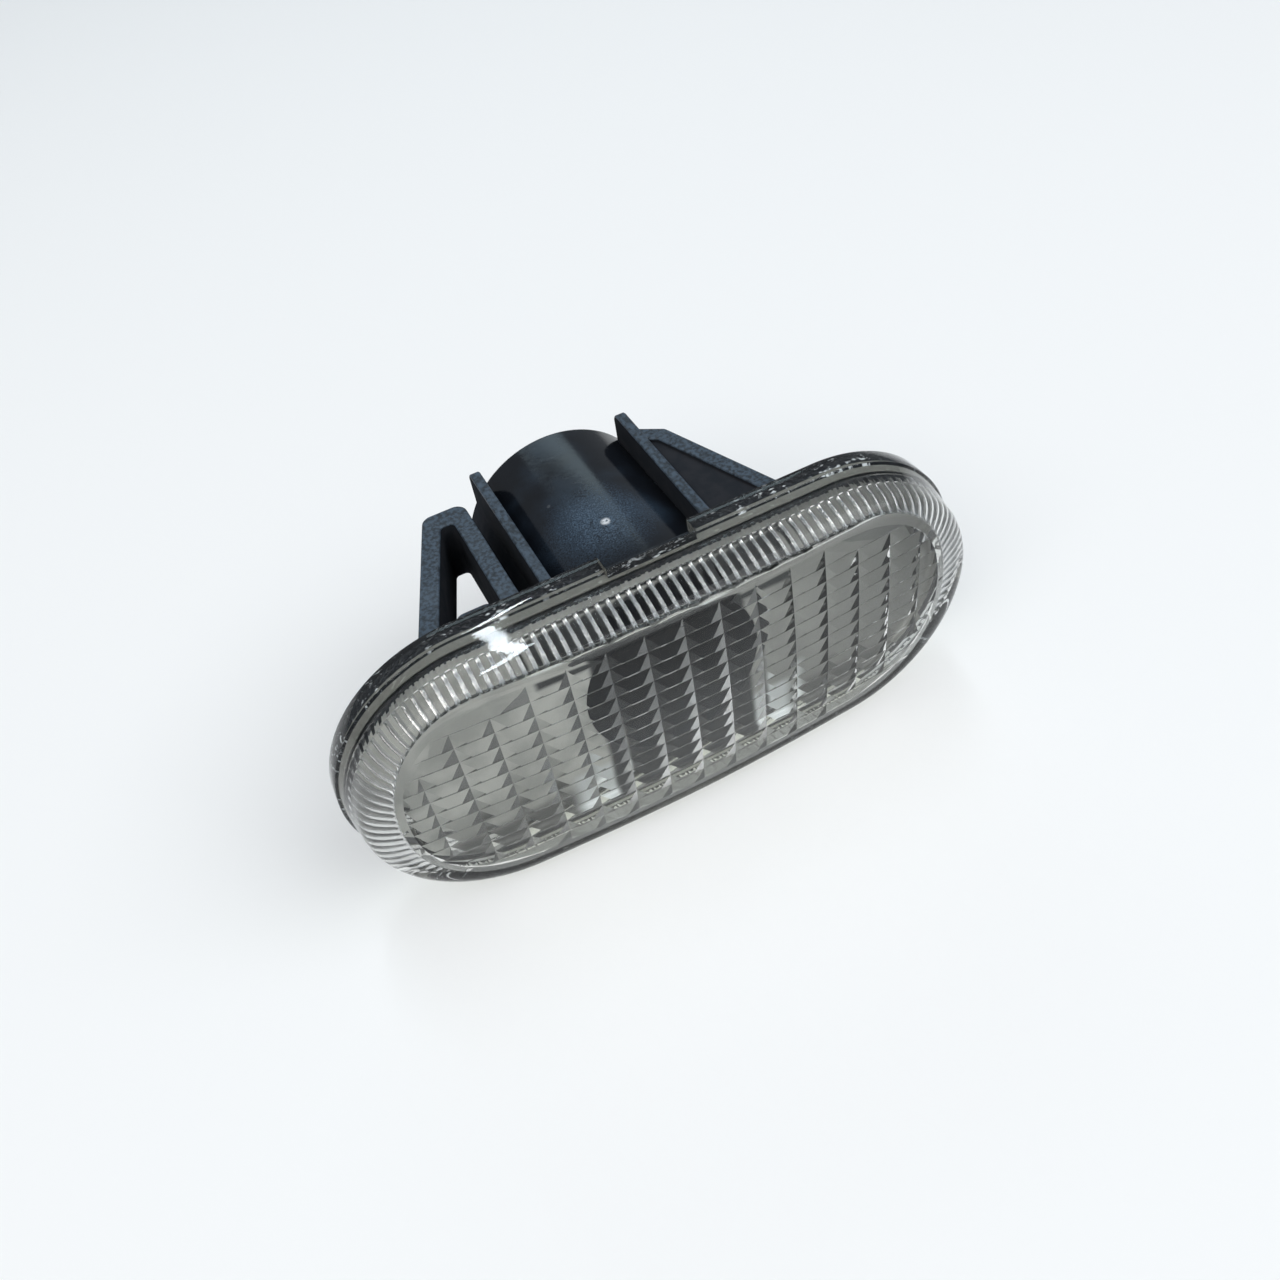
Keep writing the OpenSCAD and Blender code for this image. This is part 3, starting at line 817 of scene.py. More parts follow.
@dataclass
class ClearLens(Moulding):
    """The clear moulding, with the part's own sizes."""

    length: float = 104.0
    height: float = 47.2
    depth: float = 14.4
    crown_x: float = 3.3
    crown_z: float = 1.4
    crown_power: float = 1.8
    skirt_wall: float = 2.2
    ledge_w: float = 0.75
    seat_gap: float = 0.2
    front_wall: float = 2.1
    flange_w: float = 3.2
    flange_step: float = 0.4
    skirt_draw: float = 0.9
    shoulder_start: float = 8.2
    shoulder_side: float = 5.2
    shoulder_end: float = 8.4
    shoulder_steps: int = 16
    shoulder_bulge: Span = (0.35, 0.1)
    skirt_rings: Corner = (0.25, 0.5, 0.75)
    notch_w: float = 14.0
    notch_cut: float = 2.8
    notch_clear: float = 0.25
    notch_steps: Corner = (0.15, 0.02, -0.02)
    rear_shift: float = 0.8
    rear_round: tuple[Span, ...] = ((0.14, 0.0), (0.04, 0.06), (0.0, 0.16))
    band_round: tuple[Span, ...] = ((0.0, -0.12), (0.06, 0.0), (0.4, 0.22))
    arc_steps: int = 40
    side_steps: int = 90
    front_steps: int = 26
    weld_share: float = 0.38
    flutes: int = 152
    flute_steps: int = 12
    flute_h: float = 0.6
    flute_start: float = 5.6
    flute_side: float = 4.3
    flute_end: float = 6.6
    flute_round: float = 0.85
    flute_bow: float = 0.25
    flute_lean: float = 0.85
    flute_rise: float = 0.5
    flute_fill: float = 0.83
    flute_turn: tuple[float, ...] = (0.06, 0.18, 0.38, 0.66, 1.0)
    flute_middle: Corner = (0.35, 0.5, 0.65)
    flank_from: float = 0.55
    # Flutes below this height, and past this share towards the ends, take painted shade.
    shade_below: float = -0.5
    shade_aside: float = 0.88
    strip_w: float = 1.1
    prism_w: float = 5.76
    prism_h: float = 2.75
    prism_sink: float = 0.62
    prism_step: float = 0.3
    hip: float = 0.34
    far_column: int = 2
    field_power: float = 2.3
    end_least: float = 1.2
    rim_steps: tuple[int, int] = (10, 4)
    flute_crease: float = 50.0
    facet_crease: float = 4.0
    skin_crease: float = 35.0
    # Strip faces lower than this take painted shade.
    shade_strip_below: float = -14.5

    def __post_init__(self) -> None:
        """Works out the sizes that follow from the others."""
        self.hh = self.height / 2
        self.half = self.length / 2
        self.spine = self.half - self.hh
        self.ledge = self.skirt_wall + self.ledge_w
        self.seat = self.flange_w + self.seat_gap
        self.notch = (self.rear_shift - self.notch_w / 2, self.rear_shift + self.notch_w / 2)

    def front(self, x: Points, z: Points) -> Points:
        """Depth of the outer front at points of the face."""
        bow = self.crown_x * (np.abs(x) / self.half) ** self.crown_power
        return self.depth - bow - self.crown_z * (z / self.hh) ** 2

    def inner(self, x: Points, z: Points) -> Points:
        """Depth of the inside of the front at points of the face."""
        return self.front(x, z) - self.front_wall

    @staticmethod
    def blend(side: float, end: float, nx: Points) -> Points:
        """An inset that goes from its side value to its end value."""
        return side + (end - side) * np.abs(nx) ** 3

    def at(self, st: Points, inset: Points | float, depth: Points | float) -> Points:
        """Finds points at an inset and a depth, one for each station.

        Args:
            st: The stations.
            inset: How far inside the outline.
            depth: How far in front of the panel.

        Returns:
            Rows of X, Y and Z.
        """
        reach = self.hh - inset
        x = st[:, 0] + st[:, 1] * reach
        return np.stack([x, -(depth + np.zeros(len(st))), st[:, 2] * reach], axis=1)

    def turns(self, ids: Points) -> Points:
        """Finds the polar angle of each point of a ring.

        Args:
            ids: Numbers of the ring's points.

        Returns:
            The angles in degrees, closed by the first one plus a full turn.
        """
        p = np.concatenate(self.points)[ids]
        t = np.degrees(np.arctan2(p[:, 2], p[:, 0] * 0.5))
        t = np.where(t < -1e-4, t + 360, t)
        return np.append(t, t[0] + 360)

    def lace(self, a: Points, b: Points, region: Region) -> None:
        """Joins two closed rings of different counts with triangles.

        Args:
            a: Numbers of the outer ring's points.
            b: Numbers of the inner ring's points.
            region: How the faces are shaded.
        """
        ta, tb, na, nb = self.turns(a), self.turns(b), len(a), len(b)
        for i in range(na):
            k = int((tb[1:] < ta[i + 1]).sum()) % nb
            self.add((a[i], a[(i + 1) % na], b[k]), region)
        for j in range(nb):
            k = int((ta[1:] <= tb[j + 1]).sum()) % na
            self.add((b[(j + 1) % nb], b[j], a[k]), region)

    def skin_stations(self) -> tuple[Points, int]:
        """Chooses the stations of the outer skin, close together at the notch.

        Returns:
            The stations, and how many lie on the upper half.
        """
        xs = set(np.round(np.linspace(self.spine, -self.spine, self.side_steps + 1), 6))
        xs = {x for x in xs if min(abs(x - edge) for edge in self.notch) > self.notch_clear}
        for edge, way in zip(self.notch, (-1, 1)):
            xs |= {edge + way * step for step in self.notch_steps}
        return loop_stations(self.spine, self.arc_steps, sorted(xs, reverse=True))

    def rear(self, st: Points) -> Points:
        """Depth of the flange's rear edge, which the notch cuts back."""
        cut = (st[:, 2] == 1) & (st[:, 0] > self.notch[0]) & (st[:, 0] < self.notch[1])
        return np.where(cut, self.notch_cut, 0.0)

    def build_skin(self) -> tuple[Points, Points]:
        """Builds the outside, from the flange over the shoulder to the front.

        Returns:
            The skin's stations and the numbers of its rear ring.
        """
        st, upper = self.skin_stations()
        rear = self.rear(st)
        x0 = self.flange_step + self.skirt_draw
        rings = [self.at(st, inset, rear + more) for inset, more in self.rear_round]
        rings += [self.at(st, inset, self.flange_w + more) for inset, more in self.band_round]
        for t in self.skirt_rings:
            depth = self.flange_w + t * (self.shoulder_start - self.flange_w)
            rings.append(self.at(st, self.flange_step + self.skirt_draw * t, depth))
        edge = self.blend(self.shoulder_side, self.shoulder_end, st[:, 1])
        p = self.at(st, edge, 0.0)
        d = self.front(p[:, 0], p[:, 2])
        out, ahead = self.shoulder_bulge
        for t in np.linspace(0, 1, self.shoulder_steps + 1):
            a, b, c = (1 - t) ** 2, 2 * t * (1 - t), t * t
            inset = a * x0 + b * (x0 + out) + c * edge
            depth = a * self.shoulder_start + b * (d + ahead) + c * d
            rings.append(self.at(st, inset, depth))
        ids = [self.keep(r) for r in rings]
        for a, b in zip(ids, ids[1:]):
            self.band(b, a, Region.SKIN)
        self.build_front(rings[-1], ids[-1], upper)
        return st, ids[0]

    def build_front(self, ring: Points, last: Points, upper: int) -> None:
        """Builds the domed front in strips from its top edge to its bottom.

        Args:
            ring: Points of the front's edge.
            last: Their numbers.
            upper: How many of them lie on the upper half.
        """
        steps, n = self.front_steps, len(last)
        cols = []
        for i in range(1, upper - 1):
            z = ring[i, 2] * (1 - 2 * np.arange(1, steps) / steps)
            x = np.full(steps - 1, ring[i, 0])
            mid = self.keep(np.stack([x, -self.front(x, z), z], axis=1))
            cols.append(np.concatenate([[last[i]], mid, [last[n - i]]]))
        for a, b in zip(cols, cols[1:]):
            for k in range(steps):
                self.add((a[k + 1], a[k], b[k], b[k + 1]), Region.SKIN)
        for col, tip, flip in ((cols[0], last[0], True), (cols[-1], last[upper - 1], False)):
            for k in range(steps):
                pair = (col[k], col[k + 1]) if flip else (col[k + 1], col[k])
                self.add((tip, *pair), Region.SKIN)

    def flute_stations(self) -> Points:
        """Places the stations of the flutes, evenly spaced round the loop.

        Returns:
            The stations, flute_steps of them for each flute.
        """
        q = QUARTER * (self.hh - self.ledge)
        total = 4 * q + 4 * self.spine
        n = self.flutes * self.flute_steps
        out = []
        for s in (total * i / n for i in range(n)):
            if q <= s < q + 2 * self.spine:
                out.append((self.spine - (s - q), 0.0, 1.0))
                continue
            if 3 * q + 2 * self.spine <= s < 3 * q + 4 * self.spine:
                out.append((-self.spine + (s - 3 * q - 2 * self.spine), 0.0, -1.0))
                continue
            if s < q:
                x, t = self.spine, QUARTER * s / q
            elif s < 3 * q + 2 * self.spine:
                x, t = -self.spine, QUARTER * (1 + (s - q - 2 * self.spine) / q)
            else:
                x, t = self.spine, QUARTER * (3 + (s - 3 * q - 4 * self.spine) / q)
            out.append((x, math.cos(t), math.sin(t)))
        return np.array(out)

    def build_wall(self, st: Points, rear_ring: Points) -> Points:
        """Builds the rear rim and the plain inside of the skirt.

        Args:
            st: The skin's stations.
            rear_ring: Numbers of the skin's rear ring.

        Returns:
            Numbers of the ledge's inner ring.
        """
        depth = self.rear(st)
        weld = depth * (1 - self.weld_share) + self.seat * self.weld_share
        rings = [self.at(st, self.skirt_wall, d) for d in (depth, weld, self.seat)]
        rings.append(self.at(st, self.ledge, self.seat))
        ids = [self.keep(r) for r in rings]
        # Faces at the notch ends take the lighter weld finish as a painted highlight.
        self.band(
            rear_ring, ids[0], np.where(depth != np.roll(depth, -1), Region.LIGHTER_WELD, Region.BOND)
        )
        self.band(ids[0], ids[1], Region.BOND)
        self.band(ids[1], ids[2], Region.LIGHTER_WELD)
        self.band(ids[2], ids[3], Region.LIGHTER_WELD)
        return ids[3]

    @staticmethod
    def flute_depths(st: Points) -> Points:
        """Says how deep each flute is, shallower below and at both ends.

        Args:
            st: The flutes' stations.

        Returns:
            A share of the full depth for each station.
        """
        share = np.ones(len(st))
        for way, less, start, run in (
            (-st[:, 2], 0.7, 0.55, 0.3),
            (-st[:, 1], 0.55, 0.15, 0.5),
            (st[:, 1], 0.5, 0.15, 0.5),
        ):
            share = share * (1 - less * np.clip((way - start) / run, 0, 1))
        return share

    def build_flutes(self, ledge_ring: Points) -> Points:
        """Builds the round-ended flutes over the inside of the shoulder.

        Args:
            ledge_ring: Numbers of the ledge's inner ring.

        Returns:
            Numbers of the ring at the flutes' inner ends.
        """
        st = self.flute_stations()
        n = self.flute_steps
        u = (np.arange(len(st)) % n) / n * 2 - 1
        root = self.at(st, self.ledge, self.flute_start)
        inset = self.blend(self.flute_side, self.flute_end, st[:, 1])
        p = self.at(st, inset, 0.0)
        tip = np.stack([p[:, 0], -self.inner(p[:, 0], p[:, 2]), p[:, 2]], axis=1)
        run = np.linalg.norm(tip - root, axis=1)
        lean, rise = st * -self.flute_lean, np.full(len(st), self.flute_rise)
        away = np.stack([lean[:, 1], rise, lean[:, 2]], axis=1)
        calm = self.flute_depths(st)
        end, turn = self.flute_round, self.flute_turn
        stops = [(v * end / run, v) for v in turn]
        stops += [(np.full(len(st), share), 1.0) for share in self.flute_middle]
        stops += [(1 - v * end / run, v) for v in reversed(turn)]
        ids = [self.keep(root)]
        for share, v in stops:
            high = np.clip(1 - np.abs(u) ** 3 - (1 - v) ** 3, 0, 1) ** self.flute_fill * calm
            bow = (np.sin(np.pi * share) * self.flute_bow)[:, None]
            middle = root + (tip - root) * share[:, None]
            ids.append(self.keep(middle + away * (self.flute_h * high)[:, None] - away * bow))
        ids.append(self.keep(tip))
        self.lace(ledge_ring, ids[0], Region.WALL)
        steep = np.abs(u + 1 / n) > self.flank_from
        looks = np.where(steep, Region.SPARKLE, Region.FLUTE)
        # Lower flutes and flutes at the round ends take the dark low-side copy of the clear finish:
        # painted shade.
        shaded_flute_mask = (st[:, 2] < self.shade_below) | (np.abs(st[:, 1]) > self.shade_aside)
        looks = np.where(shaded_flute_mask, Region.LOW, looks)
        for a, b in zip(ids, ids[1:]):
            self.band(a, b, looks)
        return ids[-1]

    def field_x(self, z: float) -> float:
        """Finds the half length of the prism field at a height.

        Args:
            z: The height.

        Returns:
            The half length.
        """
        hh = self.hh - self.flute_side - self.strip_w
        half = self.half - self.flute_end - self.strip_w
        power = self.field_power
        return half - hh + hh * max(1 - (abs(z) / hh) ** power, 0.0) ** (1 / power)

    def face_point(self, x: float, z: float, sink: float = 0.0) -> int:
        """Stores one point on the inside of the front, or sunk into it."""
        depth = float(self.inner(np.array([x]), np.array([z]))[0]) + sink
        return int(self.keep(np.array([[x, -depth, z]]))[0])

    def build_prisms(self, tip_ring: Points) -> None:
        """Builds the rows of hipped prisms and the strip round them.

        Args:
            tip_ring: Numbers of the ring at the flutes' inner ends.
        """
        hh = self.hh - self.flute_side - self.strip_w
        rows = 2 * int((hh - self.prism_h / 2) // self.prism_h) + 1
        zs = np.linspace(-hh, hh, rows + 1)
        ends = [self.field_x(z) for z in zs]
        row_k = [int((min(p) - self.end_least) // self.prism_w) for p in zip(ends, ends[1:])]
        line_k = [max(row_k[max(j - 1, 0)], row_k[min(j, rows - 1)]) for j in range(rows + 1)]
        line: list[dict[int, int]] = []
        for z, k in zip(zs, line_k):
            e = self.field_x(z)
            xs = {-k - 1: -e} | {c: c * self.prism_w for c in range(-k, k + 1)} | {k + 1: e}
            line.append({c: self.face_point(x, z) for c, x in xs.items()})
        rims: list[tuple[list[int], list[int]]] = []
        for r in range(rows):
            subs = self.rim_steps[r not in (0, rows - 1)]
            marks = [zs[r] + (zs[r + 1] - zs[r]) * m / subs for m in range(1, subs)]
            rims.append(tuple(
                [self.face_point(way * self.field_x(z), z) for z in marks] for way in (-1, 1)
            ))
        for r in range(rows):
            z = zs[r] + self.prism_step
            self.build_row(z, row_k[r], line[r], line[r + 1], rims[r])
        left, right = (
            [p for row, rim in zip(line, rims) for p in (row[pick(row)], *rim[way])][1:]
            for way, pick in enumerate((min, max))
        )
        middle = rims[(rows - 1) // 2][1]
        start = right.index(middle[len(middle) // 2])
        top, bottom = list(line[rows].values())[::-1], list(line[0].values())
        ring = right[start:] + top + left[::-1] + bottom + right[:start]
        first = len(self.faces)
        self.lace(tip_ring, np.array(ring), Region.WALL)
        # Strip faces low down also take the dark low-side copy of the clear finish: painted shade.
        every = np.concatenate(self.points)
        for i in range(first, len(self.faces)):
            if every[list(self.faces[i]), 2].mean() < self.shade_strip_below:
                self.regions[i] = Region.LOW

    def build_row(
        self,
        z: float,
        k: int,
        low: dict[int, int],
        high: dict[int, int],
        rims: tuple[list[int], list[int]],
    ) -> None:
        """Builds one row of prisms.

        Args:
            z: Height of the prisms' sunk ridge.
            k: Number of the row's whole columns on each side.
            low: Points of the line below, by column.
            high: Points of the line above, by column.
            rims: Points of the row's rim between the two, left and right.
        """
        e = self.field_x(z)
        for c in range(-k - 1, k + 1):
            first, last = c < -k, c == k
            x0 = -e if first else c * self.prism_w
            x1 = e if last else (c + 1) * self.prism_w
            ra, rb = (
                self.face_point(x0 + (x1 - x0) * share, z, self.prism_sink)
                for share in (self.hip, 1 - self.hip)
            )
            below, above = (
                [row[q] for q in range(min(row) if first else c, (max(row) if last else c + 1) + 1)]
                for row in (low, high)
            )
            left = [below[0], *(rims[0] if first else []), above[0]]
            right = [below[-1], *(rims[1] if last else []), above[-1]]
            hips = [(a, b, rb) for a, b in zip(right, right[1:])]
            hips += [(a, b, ra) for a, b in zip(below, below[1:])] + [(rb, ra, below[-1])]
            slopes = [(b, a, ra) for a, b in zip(left, left[1:])]
            slopes += [(b, a, ra) for a, b in zip(above, above[1:])] + [(ra, rb, above[-1])]
            # Hips take a dark copy of the clear finish as painted shade, and a lighter one from the
            # far columns on.
            for face in hips:
                self.add(face, Region.FAR_HIP if c >= self.far_column else Region.HIP)
            for face in slopes:
                self.add(face, Region.PRISM)

    def build(self) -> Object:
        """Builds the whole lens as one closed mesh.

        Returns:
            The lens object.
        """
        st, rear_ring = self.build_skin()
        ledge_ring = self.build_wall(st, rear_ring)
        tip_ring = self.build_flutes(ledge_ring)
        self.build_prisms(tip_ring)
        made = self.mesh("clear_lens")
        self.soften(made)
        self.face_out(made)
        slots = {Region.BOND: 1, Region.SPARKLE: 2, Region.HIP: 3, Region.LIGHTER_WELD: 4}
        slots.update({Region.LOW: 5, Region.FAR_HIP: 6})
        return self.finish(made, slots)

    def soften(self, mesh: Mesh) -> None:
        """Shades the lens smooth, apart from its real edges.

        Args:
            mesh: The lens's mesh.
        """
        flutes = {Region.FLUTE, Region.SPARKLE, Region.LOW}
        facets = {Region.PRISM, Region.HIP, Region.FAR_HIP}
        limits = dict.fromkeys(flutes, self.flute_crease)
        limits |= dict.fromkeys(facets, self.facet_crease)
        bm = bmesh.new()
        bm.from_mesh(mesh)
        for edge in bm.edges:
            if len(edge.link_faces) != 2:
                edge.smooth = False
                continue
            a, b = (self.regions[f.index] for f in edge.link_faces)
            angle = math.degrees(edge.calc_face_angle(0.0))
            if a is not b and facets & {a, b}:
                edge.smooth = False
            elif {a, b} <= flutes:
                edge.smooth = angle < limits[a]
            else:
                edge.smooth = angle < limits.get(a if a is b else Region.SKIN, self.skin_crease)
        bm.to_mesh(mesh)
        bm.free()

    def dress(self, piece: Object, shelf: GroupShelf) -> None:
        """Gives the lens its finishes and ties it to the frame.

        Args:
            piece: The lens object.
            shelf: The shared node groups.
        """
        # Copy for the flutes' steep sides: tinted darker as painted shade, darkest towards the
        # ends.
        crisp = ClearPlastic(
            name="crisp_shaded_flute_plastic",
            tint=(0.6, 0.63, 0.66),
            ripple=0.45,
            ripple_scale=2600.0,
            blur_and_shade_from=0.022,
            shaded_end_tint=(0.42, 0.44, 0.46),
            mirror=1.0,
        )
        # Copies for the prisms' hips: tinted dark as painted shade, with a lighter painted shade on
        # the far columns.
        hip = ClearPlastic(
            name="shaded_prism_hip_plastic",
            tint=(0.24, 0.246, 0.252),
            blur_and_shade_from=0.014,
            shaded_end_tint=(0.15, 0.154, 0.157),
            clear=0.6,
        )
        # Copy for the lower flutes, the flutes at the ends and the low strip: tinted dark as
        # painted shade.
        low = ClearPlastic(name="shaded_low_side_plastic", tint=(0.21, 0.216, 0.222), clear=0.65)
        far = ClearPlastic(name="lightly_shaded_far_hip_plastic", tint=(0.55, 0.56, 0.57))
        # Lighter copy of the weld finish, which is a painted highlight at the notch ends.
        lighter_weld = WeldLine(name="pale_weld", black=(0.15, 0.153, 0.14), bubble_glint=(0.24, 0.245, 0.23))
        for finish in (ClearPlastic(), WeldLine(), crisp, hip, lighter_weld, low, far):
            piece.data.materials.append(finish.build(shelf))
        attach(piece, "root")
        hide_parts("lens")


# The housing


@dataclass
class DarkHousing(Moulding):
    """The dark moulding behind the lens, with the part's own sizes."""

    hh: float = 23.6
    spine: float = 28.4
    base_inset: float = 2.4
    rim_wall: float = 1.6
    rim_front: float = 3.4
    floor_t: float = 1.8
    fillet: float = 1.2
    shift: float = 0.8
    barrel_r: float = 16.7
    draft: float = 0.8
    barrel_len: float = 38.5
    bore_r: float = 14.5
    rear_wall: float = 2.6
    holder_r: float = 10.2
    collar_w: float = 2.2
    collar_h: float = 1.2
    fin_gap: float = 26.4
    fin_t: float = 1.8
    fin_top: float = 17.0
    fin_foot: float = 8.3
    fin_len: float = 37.0
    fin_round: float = 1.6
    clip_w: float = 11.0
    clip_in: float = 16.6
    clip_reach: float = 30.7
    clip_span: float = 6.9
    clip_round: float = 1.9
    bend_t: float = 3.6
    leg_t: float = 2.9
    spring_t: float = 3.0
    clip_out: float = 34.4
    panel_gap: float = 1.6
    hook_reach: float = 31.1
    hook_out: float = 29.4
    knee_out: float = 3.7
    knee_drop: float = 2.6
    bar_t: float = 2.7
    web_t: float = 1.6
    web_set: float = 0.8
    overlap: float = 0.4
    edge: float = 0.32
    web_edge: float = 0.1
    tip_round: float = 0.6
    inner_round: float = 0.8
    root: float = 0.5
    beside: float = 0.78
    crease: float = 38.0

    def build_shell(self) -> None:
        """Builds floor, rim and barrel as one turned and swept skin."""
        st, _ = loop_stations(self.spine, 26, np.linspace(self.spine, -self.spine, 61))
        outer = st[:, 2] * (self.hh - self.base_inset)
        wide = st[:, 0] + st[:, 1] * (self.hh - self.base_inset) - self.shift
        angle, level = np.arctan2(outer, wide), np.ones(len(st))

        def oval(inset: float, y: float) -> Points:
            """Stores one ring of the rim, at an inset from the lens's flange."""
            x, z = st[:, 0] + st[:, 1] * (self.hh - inset), st[:, 2] * (self.hh - inset)
            return self.keep(np.stack([x, level * y, z], axis=1))

        def ring(r: float, y: float) -> Points:
            """Stores one ring of the barrel."""
            x, z = self.shift + r * np.cos(angle), r * np.sin(angle)
            return self.keep(np.stack([x, level * y, z], axis=1))

        b, f, w = self.base_inset, self.rim_front, self.base_inset + self.rim_wall
        root, top, end = self.barrel_r + self.draft, self.barrel_r, self.barrel_len
        c, back = self.holder_r + self.collar_w, self.barrel_len + self.collar_h
        wall = end - self.rear_wall
        dark = [
            oval(b + 0.15, -f), oval(b, -f + 0.15), oval(b, -0.3), oval(b + 0.08, -0.08),
            oval(b + 0.3, 0.0), ring(root + 0.9, 0.0), ring(root + 0.36, 0.12),
            ring(root + 0.06, 0.5), ring(root - 0.02, 1.1), ring(top + 0.01, end - 0.5),
            ring(top - 0.06, end - 0.22), ring(top - 0.22, end - 0.06), ring(top - 0.5, end),
            ring(c + 0.35, end), ring(c + 0.08, end + 0.08), ring(c, end + 0.35),
            ring(c, back - 0.3), ring(c - 0.09, back - 0.09), ring(c - 0.3, back),
            ring(self.holder_r + 0.25, back), ring(self.holder_r + 0.07, back - 0.07),
            ring(self.holder_r, back - 0.25), ring(self.holder_r, wall + 0.15),
            ring(self.holder_r + 0.15, wall), ring(self.bore_r - 0.5, wall),
            ring(self.bore_r - 0.12, wall - 0.12), ring(self.bore_r, wall - 0.5),
            ring(self.bore_r, -self.floor_t + 0.2),
        ]
        t, h = self.floor_t, self.fillet
        bowl = [
            dark[-1], ring(self.bore_r + 0.06, -t + 0.06), ring(self.bore_r + 0.2, -t),
            oval(w + h, -t), oval(w + h * 0.5, -t - 0.15), oval(w + h * 0.15, -t - 0.5),
            oval(w, -t - 0.9), oval(w, -f + 0.15), oval(w - 0.15, -f),
        ]
        mantle, bore = range(6, 10), range(22, len(dark))
        beside = np.where(np.abs(np.cos(angle)) > self.beside, Region.FLANK, Region.GLOSS)
        for k, (p, q) in enumerate(zip(dark, dark[1:])):
            look = Region.FLANK if k in bore else Region.GLOSS
            self.band(q, p, beside if k in mantle else look)
        for p, q in zip(bowl, bowl[1:]):
            self.band(q, p, Region.BOWL)
        self.band(dark[0], bowl[-1], Region.GLOSS)

    def plate(
        self,
        outline: Points,
        low: float,
        high: float,
        axis: str,
        edge: float,
        flat: Region | None = None,
    ) -> None:
        """Adds a flat plate with rounded rims.

        Args:
            outline: Its outline, in X and Y or in Y and Z.
            low: Where it starts along its thickness.
            high: Where it ends.
            axis: "Z" for a plate that is thick along Z, "X" along X.
            edge: Radius of its rims.
            flat: Region of its two flat faces, if not the usual one.
        """
        steps = 3
        marks = [QUARTER * k / steps for k in range(steps + 1)]
        levels = [(edge * (1 - math.sin(t)), low + edge * (1 - math.cos(t))) for t in marks]
        levels += [(inset, high - (level - low)) for inset, level in reversed(levels)]
        ids = []
        for inset, level in levels:
            p = inset_outline(outline, inset) if inset > 1e-6 else outline
            level_row = np.full(len(p), level)
            cols = [p[:, 0], p[:, 1], level_row] if axis == "Z" else [level_row, p[:, 0], p[:, 1]]
            ids.append(self.keep(np.stack(cols, axis=1)))
        long_face = Region.FLANK if axis == "Z" else Region.FROST
        for k, (a, b) in enumerate(zip(ids, ids[1:])):
            self.band(a, b, long_face if k == steps else Region.FROST)
        cap = flat or (Region.FROST if axis == "Z" else Region.FLANK)
        self.add(tuple(ids[0][::-1]), cap)
        self.add(tuple(ids[-1]), cap)

    def build_fins(self) -> None:
        """Builds the two fins, each in two halves beside the barrel."""
        for side in (-1, 1):
            x = self.shift + side * self.fin_gap / 2
            for way in (-1, 1):
                corners = [
                    (-self.root, way * self.fin_foot, 0.0),
                    (self.fin_len, way * self.fin_foot, 0.0),
                    (self.fin_len, way * self.fin_top, self.fin_round),
                    (-self.root, way * self.fin_top, 0.0),
                ]
                self.plate(rounded(corners), x - self.fin_t / 2, x + self.fin_t / 2, "X", self.edge)

    def clip_outline(self) -> Points:
        """Draws a spring clip in plan, from the floor over its bend.

        Returns:
            Its outline.
        """
        heel = np.array([-self.clip_in - self.clip_span, self.clip_reach])
        tip = np.array([-self.clip_out, self.panel_gap])
        d = (heel - tip) / np.linalg.norm(heel - tip)
        inner_tip = tip[0] + self.spring_t / d[1]
        under = self.clip_reach - self.bend_t
        left = -self.clip_in - self.leg_t
        return rounded([
            (-self.clip_in, -self.root, 0.0),
            (-self.clip_in, self.clip_reach, self.clip_round),
            (heel[0], heel[1], self.clip_round),
            (tip[0], tip[1], self.tip_round),
            (inner_tip, tip[1], self.tip_round),
            (inner_tip + (under - tip[1]) * d[0] / d[1], under, self.inner_round),
            (left, under, self.inner_round),
            (left, -self.root, 0.0),
        ])

    def hook_outlines(self) -> tuple[Points, Points]:
        """Draws a hook's bar and its web, in plan.

        Returns:
            The outlines of the bar and of the web.
        """

        def unit(v: Points) -> Points:
            """Scales a vector to a length of one."""
            return v / np.linalg.norm(v)

        def across(a: Points, b: Points) -> Points:
            """Finds the way that a line's left side faces."""
            d = unit(b - a)
            return np.array([-d[1], d[0]])

        fin = self.shift + self.fin_gap / 2 + self.fin_t / 2
        knee = np.array([fin + self.knee_out, self.hook_reach - self.knee_drop])
        n1 = across(np.zeros(2), np.array([self.knee_out, -self.knee_drop]))
        n2 = across(knee, np.array([self.hook_out, 0.0]))
        mitre = unit(n1 + n2) / float(unit(n1 + n2) @ n1)
        inside = knee - mitre * self.bar_t
        foot = self.hook_out + self.root * (self.hook_out - knee[0]) / knee[1]
        low = self.hook_reach - self.bar_t / n1[1]
        more = self.overlap * self.knee_drop / self.knee_out
        bar = rounded([
            (fin - self.overlap, self.hook_reach + more, 0.0),
            (knee[0], knee[1], self.bar_t / 2),
            (foot, -self.root, 0.0),
            (foot - self.bar_t / n2[0], -self.root, 0.0),
            (inside[0], inside[1], self.tip_round),
            (fin - self.overlap, low + more, 0.0),
        ])
        middle = knee - mitre * self.bar_t / 2
        web = np.array([
            (fin - self.overlap, -self.root),
            (self.hook_out - self.bar_t / 2, -self.root),
            (middle[0], middle[1]),
            (fin - self.overlap, self.hook_reach - self.bar_t / 2),
        ])
        return bar, web

    def build_clips(self) -> None:
        """Builds both clips and both hooks, above and below the barrel."""
        top = self.fin_top - self.overlap
        web_top = top - self.web_set
        clip = self.clip_outline()
        bar, web = self.hook_outlines()
        for way in (-1, 1):
            for outline, low, high, edge, flat in (
                (clip, top - self.clip_w, top, self.edge, None),
                (bar, top - self.clip_w, top, self.edge, None),
                (web, web_top - self.web_t, web_top, self.web_edge, Region.FLANK),
            ):
                ends = sorted((way * low, way * high))
                self.plate(outline, ends[0], ends[1], "Z", edge, flat)

